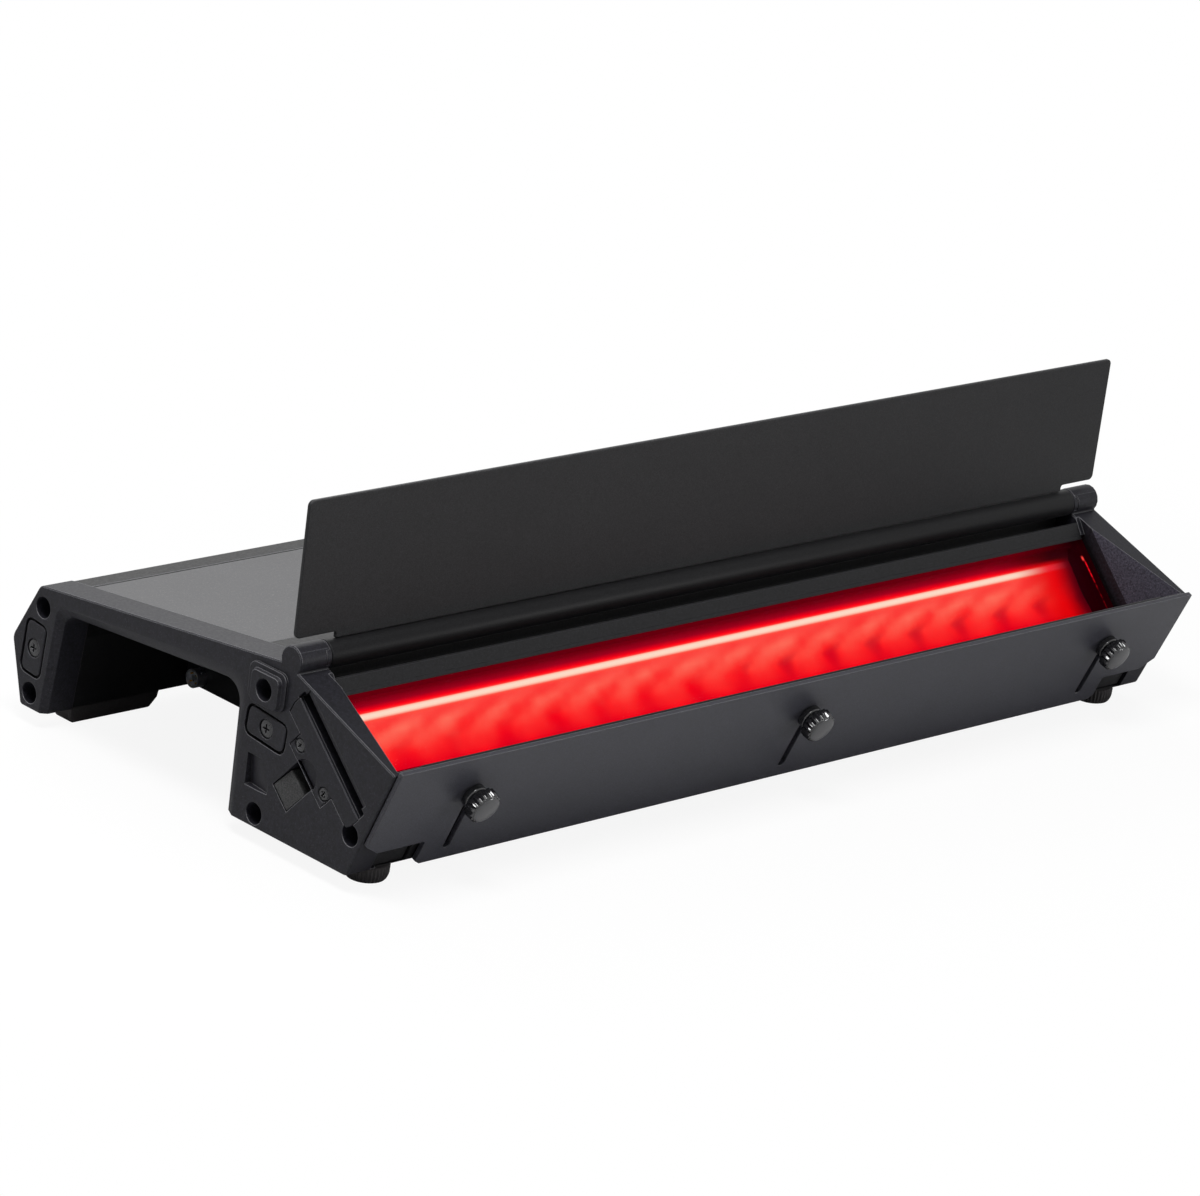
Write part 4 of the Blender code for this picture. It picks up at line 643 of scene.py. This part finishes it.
def well_wall_painted_light(name, look):
    """Dark red wall of the light well, glowing with painted red light from the lamps, with a
    painted reflection: a thin bright line along its mouth.
    """
    made, shader, place = new_finish(name, 0.5, specular=0.0)
    x, depth, up = along_well(place)
    grain = noise(place, 0.004)
    across = sum_up("ABSOLUTE", x)
    colour = blend(spread(depth, PANE_BACK, WELL_DEPTH), linear(20, 0, 1), linear(60, 0, 8))
    on_face = spread(across, INNER - WELL_END - 0.001, INNER - WELL_END)
    colour = blend(on_face, linear(98, 0, 11), colour)
    colour = blend(spread(x, INNER - 0.060, INNER - WELL_END), colour, linear(20, 0, 1))
    line = spread(off(across, INNER - SIDE_LINE), 0.0007, 0.0001)
    fall = ramp(spread(up, WELL_LOW, WELL_TOP),
                [(stop, linear(level, level, level)) for stop, level in
                 ((0.0, 90), (0.40, 150), (0.55, 255), (0.74, 255), (0.80, 20))])
    lit = times(times(line, fall), spread(grain, 0.42, 0.56, 0.12, 1.0))
    # Painted reflection: a bright red line near the ends of the walls
    colour = blend(lit, colour, linear(255, 16, 28))
    # Painted reflection: a small bright spot on the side walls
    near = times(spread(off(across, INNER - SIDE_SPOT), 0.0012, 0.0003),
                 spread(off(up, SIDE_SPOT_UP), 0.0019, 0.0005))
    colour = blend(near, colour, linear(255, 66, 58))
    feed(shader, Base_Color=linear(24, 0, 4), Emission_Color=colour,
         Emission_Strength=look.light_strength)
    return made


def colour_setting(name, about, *default):
    """A colour that the panel shows."""
    return FloatVectorProperty(name=name, description=about, subtype="COLOR", default=default,
                               min=0, max=1)


def length_setting(name, about, default, low, high):
    """A length in metres that the panel shows."""
    return FloatProperty(name=name, description=about, default=default, min=low, max=high,
                         unit="LENGTH", precision=5)


def level_setting(name, about, default, high, **kind):
    """A number from zero upwards that the panel shows."""
    return FloatProperty(name=name, description=about, default=default, min=0.0, max=high, **kind)


class FinishLook(PropertyGroup):
    """Colours and surface detail of the finishes."""

    cast: colour_setting("Cast ends", "Coat of the cast end caps", 0.0128, 0.0125, 0.0170)
    body: colour_setting("Extrusions", "Coat of the body and rear leg", 0.0098, 0.0098, 0.0110)
    # The deck's colour is lighter than the other coats, partly its own coat and partly painted
    # sheen
    deck: colour_setting("Deck", "Coat of the deck", 0.060, 0.060, 0.064)
    door: colour_setting("Door", "Coat of the door", 0.0165, 0.0165, 0.0180)
    plate: colour_setting("Glare plate", "Coat of the glare plate", 0.040, 0.040, 0.050)
    knob: colour_setting("Thumb screws", "Plastic of the thumb screws", 0.0100, 0.0100, 0.0118)
    latch: colour_setting("Latch", "Metal of the latch blocks", 0.055, 0.055, 0.056)
    # Colour and level of the painted highlight on upward-facing edges, partly thin-coat wear
    edge_highlight_colour: colour_setting("Edges", "Colour of the thin coat on sharp edges", 0.30, 0.30, 0.32)
    edge_radius: length_setting("Edge radius", "Rounding of the coat on edges", 0.0007, 0, 0.003)
    edge_highlight_level: level_setting("Edge lightness", "How much the thin coat on edges shows", 0.75, 1.0,
                              subtype="FACTOR")
    light_strength: level_setting("Light strength", "Strength of the lit window", 1.0, 20.0)
    light_pitch: length_setting("Light pitch", "Distance between two lights", 0.0345, 0.005, 0.1)
    streak_foot: length_setting("Streak foot", "Where the streaks stand upright", 0.0290, 0, 0.05)


class PieceSizes(PropertyGroup):
    """Sizes of detail that the pieces are drawn with."""

    door_edge: length_setting("Door edge", "Rounding of its edges", 0.0004, 0.0001, 0.0009)
    plate_edge: length_setting("Plate edge", "Rounding of its edges", 0.0005, 0.0001, 0.0012)
    knob_flutes: IntProperty(name="Knob flutes", description="Scallops round each thumb screw",
                             default=18, min=8, max=40)
    knob_dip: level_setting("Flute depth", "Depth of a scallop as a share of the radius", 0.13, 0.2,
                            subtype="FACTOR")
    foot_ribs: IntProperty(name="Foot ribs", description="Ribs round each front foot",
                           default=36, min=12, max=72)
    small_edge: length_setting("Small edges", "Rounding of the small plates and blocks", 0.00035,
                               0.0001, 0.001)


class StageLook(PropertyGroup):
    """Studio floor, lamps and camera."""

    floor: colour_setting("Floor", "Colour of the floor", 0.90, 0.90, 0.90)
    rear_power: level_setting("Rear light", "Power of the light behind", 27.0, 500.0, unit="POWER")
    top_power: level_setting("Top light", "Power of the light overhead", 19.0, 500.0, unit="POWER")
    front_power: level_setting("Front light", "Power of the light at the front right", 11.2, 500.0,
                               unit="POWER")
    room: level_setting("Room light", "Level of the even light from all round", 0.20, 2.0)
    shadow: level_setting("Shadow", "How much of the object's shadow the floor shows", 0.10, 1.0,
                          subtype="FACTOR")
    focal_length: level_setting("Focal length", "Lens of the camera", 156.0, 400.0, unit="CAMERA")


def settings():
    """The three groups of settings of the scene."""
    scene = bpy.context.scene
    return scene.footlight_look, scene.footlight_sizes, scene.footlight_stage


def finish(name):
    """A finish by its name, made once."""
    found = bpy.data.materials.get(name)
    if found:
        return found
    look = settings()[0]

    def coat(colour, share=1.0, **how):
        """A powder coat of this name in a share of a colour."""
        return coat_finish(name, scaled(colour, share), look, **how)

    # In the coats below, edge scales the painted edge highlight and crevices gives the reach of the
    # painted crevice shade
    makers = {
        "cast_coat": lambda: coat(look.cast, crevices=0.004),
        # Painted light: the flares get the cast coat 4.4 times lighter, standing for light that
        # falls on them
        "flare_coat": lambda: coat(look.cast, 4.4, grain=0.0011, relief=0.00005, edge=0.2),
        "ear_coat": lambda: coat(look.cast, edge=0.2),
        "body_coat": lambda: coat(look.body, edge=0.12, crevices=0.0025),
        "trim_coat": lambda: coat(look.body, edge=0.0),
        # Painted shade: the rear leg gets the body coat at 0.6, standing for the shade inside the
        # tunnel
        "leg_coat": lambda: coat(look.body, 0.6, crevices=0.008),
        # Deck coat: partly its own coat and partly painted sheen, in its lighter colour
        "deck_coat": lambda: coat(look.deck, relief=0.00008, gloss=0.46, specular=0.25, edge=0.5,
                                  crevices=0.004),
        "door_coat": lambda: coat(look.door, grain=0.0006, relief=0.000022, gloss=0.44, edge=0.5),
        "plate_coat": lambda: coat(look.plate, grain=0.0006, relief=0.000018, gloss=0.42,
                                   specular=0.22, edge=0.8),
        "barrel_coat": lambda: coat(look.door, 0.56, grain=0.0007, relief=0.000020, gloss=0.46,
                                    specular=0.10, edge=0.5),
        "box_coat": lambda: coat(linear(22, 22, 24), grain=0.0005, relief=0.000020, specular=0.15,
                                 edge=0.4),
        # Screws get a strong painted highlight on their edges, standing for glints round rim and
        # cross
        "black_screw": lambda: coat(linear(38, 38, 41), grain=0.0004, relief=0.00001, gloss=0.30,
                                    specular=0.4, edge=1.3, radius=0.00025),
        "latch_block_coat": lambda: coat(look.latch, grain=0.0007, relief=0.00003, gloss=0.55,
                                         specular=0.12, edge=0.3),
        "foot_rubber": lambda: rubber_finish(name, linear(50, 48, 49)),
        "knob_gloss": lambda: gloss_finish(name, scaled(look.knob), 0.09),
        "knob_satin": lambda: gloss_finish(name, scaled(look.knob, 1.7), 0.36),
        "socket_core": lambda: gloss_finish(name, linear(24, 26, 30), 0.4),
        "pin_steel": lambda: metal_finish(name, linear(150, 150, 154), 0.28),
        "socket_shell": lambda: metal_finish(name, linear(190, 191, 195), 0.30),
        "contact_gold": lambda: metal_finish(name, linear(214, 170, 84), 0.25),
        "supply_case": lambda: metal_finish(name, linear(150, 150, 153), 0.45, 0.9),
        "white_lacquer": lambda: board_finish(name, linear(214, 215, 208)),
        "green_lacquer": lambda: board_finish(name, linear(30, 92, 52)),
        "window_pane": lambda: pane_finish(name),
        "window_glow": lambda: glow_finish(name, look),
        "well_wall": lambda: well_wall_painted_light(name, look),
    }
    return makers[name]()


# Pieces


class FOOTLIGHT_OT_end_caps(Operator):
    """Dress the cast end caps with whole faces and a coarse cast coat, with painted light on their
    flares
    """

    bl_idname = "footlight.end_caps"
    bl_label = "End caps"

    def execute(self, context):
        for way, side in zip((-1, 1), SIDES):
            made = dressed("end_cap_" + side, ["cast_coat", "flare_coat"],
                           settings()[1].small_edge, 2, 34)
            # Faces of the flares take the lighter coat of painted light
            for face in made.data.polygons:
                if -way * face.normal.x > FLARE_IN and face.normal.z > FLARE_UP:
                    face.material_index = 1
        return {"FINISHED"}


class FOOTLIGHT_OT_body(Operator):
    """Dress the front body, the deck and the rear leg"""

    bl_idname = "footlight.body"
    bl_label = "Body"

    def execute(self, context):
        housing = dressed("optic_housing", "body_coat", smooth=10)
        floor, clear = GROOVE_TOP - GROOVE_DEPTH, GROOVE_TOP + GROOVE_CLEAR
        cavity = [(GROOVE_FRONT, GROOVE_TOP, 0),
                  (GROOVE_FRONT + 0.0004, GROOVE_TOP - 0.0030, 0.001),
                  (GROOVE_FRONT + 0.0050, floor, 0.002), (HINGE_BACK + 0.0030, floor, 0.002),
                  (HINGE_BACK + 0.0045, GROOVE_TOP - 0.0010, 0.002),
                  (HINGE_BACK + 0.0035, clear, 0), (GROOVE_FRONT, clear, 0)]
        carve(housing, bar(rounded(cavity), INNER - GAP, LEVEL), 10)
        wedge = [(TRIM_BACK, 0.0), (0.0, 0.0), (-TRIM_LEAN, TRIM_HEIGHT), (TRIM_BACK, TRIM_HEIGHT)]
        piece("window_trim", bar(wedge, INNER - GAP, LENS), "trim_coat", "base")
        dressed("deck", "deck_coat")
        dressed("rear_leg", "leg_coat")
        return {"FINISHED"}


class FOOTLIGHT_OT_window(Operator):
    """Build the clear window and the glowing light well behind it"""

    bl_idname = "footlight.window"
    bl_label = "Window and light"

    def execute(self, context):
        dressed("lens_window", "window_pane", WINDOW_EDGE)
        end = INNER - WELL_END
        well_back = WELL_DEPTH + WELL_SHELL
        section = [(PANE_BACK, WELL_TOP), (WELL_DEPTH * 0.7, WELL_TOP - 0.0002),
                   (WELL_DEPTH, BAR_UP + BAR_RADIUS * 1.3)]
        section += [(WELL_DEPTH - BAR_RADIUS * 0.4 * across, BAR_UP + rise) for across, rise in
                    arc_profile((0, 0), BAR_RADIUS, 90, -90, 8)[1:-1]]
        top, foot = BAR_UP - BAR_RADIUS * 1.2, WELL_LOW + 0.0006
        for share in (0, 0.15, 0.3, 0.45, 0.6, 0.75, 0.9, 1):
            bulge = WELL_BULGE * math.sin(math.pi * share)
            section.append((WELL_DEPTH + bulge, top + (foot - top) * share))
        section += [(PANE_BACK, WELL_LOW), (well_back, WELL_LOW), (well_back, WELL_TOP)]
        piece("light_well", bar(section, end, LENS), "window_glow", "base",
              ["led_optics", "reflector"])
        wall = bmesh.new()
        seat = INNER + 0.0026
        rim_back = PANE_BACK - 0.0002
        rim = (rim_back - 0.0002, rim_back)
        strips = [((-seat, seat), rim, (WELL_TOP, 0.0012)),
                  ((-seat, seat), rim, (-0.0455, WELL_LOW))]
        for side in (-1, 1):
            strips.append((sorted((side * end, side * seat)), rim, (WELL_LOW, WELL_TOP)))
            strips.append((sorted((side * (end - 0.0006), side * end)),
                           (rim_back, WELL_DEPTH + 0.0004), (WELL_LOW + 0.0001, WELL_TOP - 0.0001)))
        for ranges in strips:
            low, high = (Vector(corner) for corner in zip(*ranges))
            bmesh.ops.create_cube(wall, size=1, matrix=Matrix.Translation((low + high) / 2)
                                  @ Matrix.Diagonal((*(high - low), 1)))
        bmesh.ops.transform(wall, verts=wall.verts, matrix=LENS)
        piece("well_walls", wall, "well_wall", "base")
        return {"FINISHED"}


class FOOTLIGHT_OT_door(Operator):
    """Build the thin door, the barrel that carries it and the hinge pins"""

    bl_idname = "footlight.door"
    bl_label = "Door and hinge"

    def execute(self, context):
        sizes = settings()[1]
        low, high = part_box("door")
        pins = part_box("hinge_barrel")
        radius = (pins[1].z - pins[0].z) / 2
        axis_up = (pins[1].z + pins[0].z) / 2
        neck = HALF - DOOR_NECK_IN
        slot_top = axis_up + radius + DOOR_SLOT
        left, right = low.x - ORIGIN.x, high.x - ORIGIN.x
        corners = [(-neck, low.z, 0), (neck, low.z, 0), (neck, slot_top, 0.0016),
                   (right, slot_top, DOOR_CORNER), (right, high.z, DOOR_CORNER),
                   (left, high.z, DOOR_CORNER), (left, slot_top, DOOR_CORNER),
                   (-neck, slot_top, 0.0016)]
        shape = bmesh.new()
        extruded(shape, [(across, low.y, up) for across, up in rounded(corners)],
                 (0, high.y - low.y, 0), Matrix.Translation((ORIGIN.x, 0, 0)))
        made = piece("door_leaf", shape, "door_coat", "door", ["door"])
        soften(made, sizes.door_edge)
        half = (pins[1].x - pins[0].x) / 2
        deep, edge = half - PIN_REACH, BARREL_EDGE
        profile = [(0, -deep), (PIN_BORE, -deep), (PIN_BORE, -half)]
        profile += arc_profile((radius - edge, -half + edge), edge, -90, 0, 3)
        profile += arc_profile((radius - edge, half - edge), edge, 0, 90, 3)
        profile += [(PIN_BORE, half), (PIN_BORE, deep), (0, deep)]
        shape = bmesh.new()
        place = Matrix.Translation((ORIGIN.x, DOOR_MIDDLE.y, axis_up)) @ about_x(1)
        spun(shape, profile, place, 72)
        piece("hinge_tube", shape, "barrel_coat", "door", ["hinge_barrel"])
        profile = [(PIN_BORE, GAP), (radius - 0.0004, GAP), (radius, GAP + 0.0004),
                   (radius, EAR_RING), (PIN_BORE, EAR_RING)]
        for way, side in zip((-1, 1), SIDES):
            dressed("hinge_pin_" + side, "pin_steel")
            shape = bmesh.new()
            end = Vector((ORIGIN.x + way * half, DOOR_MIDDLE.y, axis_up))
            spun(shape, profile, Matrix.Translation(end) @ about_x(way), 72)
            piece("ear_ring_" + side, shape, "ear_coat", "base")
        return {"FINISHED"}


class FOOTLIGHT_OT_glare_plate(Operator):
    """Build the glare plate with its slots, button notches and rounded edges"""

    bl_idname = "footlight.glare_plate"
    bl_label = "Glare plate"

    def execute(self, context):
        made = dressed("glare_plate", "plate_coat")
        soften(made, settings()[1].plate_edge, 2, 40)
        return {"FINISHED"}


class FOOTLIGHT_OT_thumb_screws(Operator):
    """Build the scalloped thumb screws and their collars"""

    bl_idname = "footlight.thumb_screws"
    bl_label = "Thumb screws"

    def execute(self, context):
        sizes = settings()[1]
        face = -PLATE - COLLAR - 3 * GAP
        reach = SHANK_END - face
        radius, height = KNOB_RADIUS, KNOB_HEIGHT
        # Share of the radius, distance from the near face and share of the flutes' depth
        grip = ((0.60, 0, 0), (0.66, 0.0003, 0), (0.70, 0.0008, 0), (0.92, 0.0009, 0.6),
                (0.98, 0.0012, 1), (1, 0.0017, 1))
        crown = ((0.945, 0.0022, 1), (0.93, 0.0017, 1), (0.90, 0.0014, 0.9), (0.87, 0.0013, 0.4),
                 (0.86, 0.0015, 0), (0.84, 0.0015, 0), (0.83, 0.0011, 0), (0.79, 0.0008, 0),
                 (0.62, 0.0004, 0), (0.35, 0.0001, 0), (0.10, 0, 0))
        rings = [(SHANK * 0.86, -reach, 0), (SHANK, -reach + 0.0004, 0), (SHANK, -0.0001, 0),
                 (SHANK + 0.0004, 0, 0)]
        rings += [(radius * share, up, dip) for share, up, dip in grip]
        rings += [(radius * share, height - down, dip) for share, down, dip in crown]
        collar = [(COLLAR_BORE, 0), (COLLAR_RADIUS, 0)]
        collar += arc_profile((COLLAR_RADIUS - COLLAR_EDGE, COLLAR - COLLAR_EDGE), COLLAR_EDGE,
                              0, 90, 5)
        collar += [(COLLAR_BORE, COLLAR)]
        for name in SCREW_PLACES:
            low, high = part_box("thumb_screw_" + name)
            across = (low.x + high.x) / 2 - ORIGIN.x
            shape = bmesh.new()
            fluted(shape, rings, sizes.knob_flutes, sizes.knob_dip,
                   WALL @ Matrix.Translation((across, face, KNOB_DOWN)) @ TO_FRONT)
            made = piece("thumb_knob_" + name, shape, ["knob_gloss", "knob_satin"],
                         "knob_" + name, ["thumb_screw_" + name], smooth=50)
            middle = WALL @ Vector((across, face - height, KNOB_DOWN))
            for polygon in made.data.polygons:
                if (polygon.center - middle).length < radius * KNOB_FACE:
                    polygon.material_index = 1
            shape = bmesh.new()
            place = WALL @ Matrix.Translation((across, -PLATE - 2 * GAP, KNOB_DOWN)) @ TO_FRONT
            spun(shape, collar, place, 48)
            piece("collar_ring_" + name, shape, "knob_gloss", "collar_" + name,
                  ["plate_washer_" + name])
        return {"FINISHED"}


class FOOTLIGHT_OT_link_hardware(Operator):
    """Dress the link plates and their cross-head screws"""

    bl_idname = "footlight.link_hardware"
    bl_label = "Link plates and screws"

    def execute(self, context):
        edge = settings()[1].small_edge
        for side in SIDES:
            for place in ("front", "rear"):
                plate = f"link_plate_{place}_{side}"
                made = dressed(plate, "cast_coat")
                low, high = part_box(plate)
                fit = [1 - 2 * LINK_SEAM / (high[axis] - low[axis]) for axis in (1, 2)]
                shape = bmesh.new()
                shape.from_mesh(made.data)
                bmesh.ops.scale(shape, verts=shape.verts, vec=(1, *fit),
                                space=Matrix.Translation(-(low + high) / 2))
                shape.to_mesh(made.data)
                shape.free()
                soften(made, edge * 1.6, 3)
                dressed(f"link_screw_{place}_{side}", "black_screw", edge * 0.4,
                        smooth=40)
            for place in ("lower", "upper"):
                dressed(f"cover_screw_{place}_{side}", "black_screw", edge * 0.3,
                        smooth=40)
        return {"FINISHED"}


class FOOTLIGHT_OT_latches(Operator):
    """Dress the latch covers and the sliding latch blocks"""

    bl_idname = "footlight.latches"
    bl_label = "Latches"

    def execute(self, context):
        edge = settings()[1].small_edge
        for side in SIDES:
            dressed("latch_cover_" + side, "cast_coat", edge)
            dressed("latch_block_" + side, "latch_block_coat", edge * 1.4, 3)
        return {"FINISHED"}


class FOOTLIGHT_OT_buttons(Operator):
    """Build the push buttons below the glare plate"""

    bl_idname = "footlight.buttons"
    bl_label = "Push buttons"

    def execute(self, context):
        for side in SIDES:
            made = dressed("push_button_" + side, "body_coat")
            soften(made, settings()[1].small_edge, 2)
        return {"FINISHED"}


class FOOTLIGHT_OT_feet(Operator):
    """Build the ribbed front feet, their studs and the long rear feet"""

    bl_idname = "footlight.feet"
    bl_label = "Feet"

    def execute(self, context):
        sizes = settings()[1]
        for side in SIDES:
            low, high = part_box("front_foot_" + side)
            radius = (high.x - low.x) / 2
            centre = Vector(((low.x + high.x) / 2, (low.y + high.y) / 2, 0))
            rings = [(FOOT_BORE, low.z + 0.0025, 0), (FOOT_BORE, high.z, 0),
                     (radius * 0.90, high.z, 0), (radius * 0.95, high.z - 0.0003, 0.3),
                     (radius, high.z - 0.0009, 1),
                     (radius * 0.99, low.z + 0.0042, 1), (radius * 0.96, low.z + 0.0028, 1),
                     (radius * 0.91, low.z + 0.0013, 0.7), (radius * 0.84, low.z + 0.0003, 0.2),
                     (radius * 0.78, low.z, 0)]
            shape = bmesh.new()
            fluted(shape, rings, sizes.foot_ribs, FOOT_RIB_DIP, Matrix.Translation(centre), 6)
            piece("ribbed_foot_" + side, shape, "foot_rubber", "front_foot_" + side,
                  ["front_foot_" + side], smooth=50)
            dressed("foot_stud_" + side, "pin_steel")
            dressed("rear_foot_" + side, "foot_rubber")
        return {"FINISHED"}


class FOOTLIGHT_OT_connectors(Operator):
    """Dress the connector panels and build the contacts in their sockets"""

    bl_idname = "footlight.connectors"
    bl_label = "Connectors"

    def execute(self, context):
        contact = [(0, 0), (0.00045, 0), (0.00045, 0.0014), (0.0002, 0.0018), (0, 0.0018)]
        for way, side in zip((-1, 1), SIDES):
            dressed("bulkhead_" + side, "box_coat")
            dressed("data_socket_" + side, "socket_shell", smooth=40)
            dressed("power_socket_" + side, "socket_core", smooth=40)
            low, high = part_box("data_socket_" + side)
            middle = (low + high) / 2
            mouth = low.x if way < 0 else high.x
            shape = bmesh.new()
            for pin in range(4):
                angle = math.radians(45 + 90 * pin)
                place = Vector((mouth - way * 0.0022, middle.y + CONTACT_RING * math.cos(angle),
                                middle.z + CONTACT_RING * math.sin(angle)))
                spun(shape, contact, Matrix.Translation(place) @ about_x(way), 12)
            piece("data_contacts_" + side, shape, "contact_gold", "base")
        return {"FINISHED"}


class FOOTLIGHT_OT_inner_parts(Operator):
    """Give the parts inside the body their finishes"""

    bl_idname = "footlight.inner_parts"
    bl_label = "Inner parts"

    def execute(self, context):
        for node, name in (("led_board", "white_lacquer"), ("driver_board", "green_lacquer"),
                           ("power_supply", "supply_case"), ("service_tray", "box_coat")):
            slots = frame["nodes"][node].data.materials
            slots.clear()
            slots.append(finish(name))
        return {"FINISHED"}


# Name, place, target and size of each lamp; the camera's place from ORIGIN and its turn in degrees
LAMPS = (
    ("rear", (0.55, 1.90, 1.55), (0.0, 0.10, 0.05), (2.0, 1.1)),
    ("top", (-0.60, -0.28, 1.42), (0.0, -0.05, 0.05), (0.7, 0.4)),
    ("front", (1.10, -1.80, 0.22), (0.05, -0.05, 0.08), (0.5, 0.3)),
)
CAMERA_PLACE = (-1.930231, -1.651949, 0.964396)
CAMERA_TURN = (70.8291, -7.10388, -44.28298)


class FOOTLIGHT_OT_stage(Operator):
    """Build the pale floor, the soft lamps, the white surround and the camera"""

    bl_idname = "footlight.stage"
    bl_label = "Stage"

    def execute(self, context):
        look = settings()[2]
        make_floor(look)
        make_world(look)
        for name, place, target, size in LAMPS:
            make_lamp(name + "_light", place, target, size, getattr(look, name + "_power"))
        make_camera(look)
        bpy.context.scene.view_settings.view_transform = "Standard"
        return {"FINISHED"}


def make_floor(look):
    """A large pale floor that is plain white away from the object."""
    shape = bmesh.new()
    bmesh.ops.create_grid(shape, x_segments=1, y_segments=1, size=8.0)
    mesh = mesh_of("floor", shape)
    floor = put("floor", mesh)
    made, shader, place = new_finish("pale_floor", 0.9, specular=0.0)
    tree = made.node_tree
    feed(shader, Base_Color=scaled(look.floor))
    oval = add_node(tree, "ShaderNodeMapping", Vector=place, Scale=(0.55, 1.0, 1.0))
    distance = add_node(tree, "ShaderNodeVectorMath", Vector=oval.outputs[0])
    distance.operation = "LENGTH"
    far = spread(distance.outputs["Value"], 0.14, 0.42, 1.0 - look.shadow, 1.0, "SMOOTHSTEP")
    seen = tree.nodes.new("ShaderNodeLightPath").outputs["Is Camera Ray"]
    white = add_node(tree, "ShaderNodeEmission", Strength=1.0)
    mixed = tree.nodes.new("ShaderNodeMixShader")
    sources = (times(far, seen), shader.outputs[0], white.outputs[0])
    for socket, value in zip(mixed.inputs, sources):
        give(socket, value)
    feed(tree.nodes["Material Output"], Surface=mixed.outputs[0])
    mesh.materials.append(made)


def make_world(look):
    """White for what is seen and mirrored, and a weak even light for the rest."""
    world = bpy.data.worlds.new("studio")
    bpy.context.scene.world = world
    world.use_nodes = True
    tree = world.node_tree
    path = tree.nodes.new("ShaderNodeLightPath")
    mirrored = sum_up("MAXIMUM", path.outputs["Is Glossy Ray"], path.outputs["Is Transmission Ray"])
    seen = sum_up("MAXIMUM", path.outputs["Is Camera Ray"], mirrored)
    strength = spread(seen, 0.0, 1.0, look.room, 1.0)
    feed(tree.nodes["Background"], Strength=strength, Color=(1, 1, 1, 1))


def make_lamp(name, place, target, size, power):
    """A soft rectangular lamp that points at a target."""
    data = bpy.data.lights.new(name, "AREA")
    data.shape = "RECTANGLE"
    data.size, data.size_y = size
    data.energy = power
    lamp = put(name, data)
    lamp.location = place
    lamp.rotation_euler = (Vector(target) - Vector(place)).to_track_quat("-Z", "Y").to_euler()


def make_camera(look):
    """The camera at the photograph's place."""
    data = bpy.data.cameras.new("camera")
    data.lens = look.focal_length
    data.sensor_width = 36.0
    data.clip_end = 50.0
    camera = put("camera", data)
    camera.location = ORIGIN + Vector(CAMERA_PLACE)
    camera.rotation_euler = [math.radians(angle) for angle in CAMERA_TURN]
    bpy.context.scene.camera = camera


STEPS = (FOOTLIGHT_OT_end_caps, FOOTLIGHT_OT_body, FOOTLIGHT_OT_window, FOOTLIGHT_OT_door,
         FOOTLIGHT_OT_glare_plate, FOOTLIGHT_OT_thumb_screws, FOOTLIGHT_OT_link_hardware,
         FOOTLIGHT_OT_latches, FOOTLIGHT_OT_buttons, FOOTLIGHT_OT_feet, FOOTLIGHT_OT_connectors,
         FOOTLIGHT_OT_inner_parts, FOOTLIGHT_OT_stage)


class FOOTLIGHT_PT_panel(Panel):
    """Panel that lists the pieces, their sizes and their finishes"""

    bl_idname = "FOOTLIGHT_PT_panel"
    bl_label = "Footlight"
    bl_space_type = "VIEW_3D"
    bl_region_type = "UI"
    bl_category = "Footlight"

    def draw(self, context):
        column = self.layout.column()
        for group in settings():
            for name in group.__annotations__:
                column.prop(group, name)
        for step in STEPS:
            column.operator(step.bl_idname)


CLASSES = (FinishLook, PieceSizes, StageLook, *STEPS, FOOTLIGHT_PT_panel)


def register():
    """Register the classes and hang the settings on the scene."""
    for kind in CLASSES:
        bpy.utils.register_class(kind)
    bpy.types.Scene.footlight_look = PointerProperty(type=FinishLook)
    bpy.types.Scene.footlight_sizes = PointerProperty(type=PieceSizes)
    bpy.types.Scene.footlight_stage = PointerProperty(type=StageLook)


def unregister():
    """Take the settings off the scene and unregister the classes."""
    del bpy.types.Scene.footlight_stage
    del bpy.types.Scene.footlight_sizes
    del bpy.types.Scene.footlight_look
    for kind in reversed(CLASSES):
        bpy.utils.unregister_class(kind)


def main():
    """Build every piece and the stage."""
    register()
    for step in STEPS:
        group, name = step.bl_idname.split(".")
        getattr(getattr(bpy.ops, group), name)()


if __name__ == "__main__":
    main()
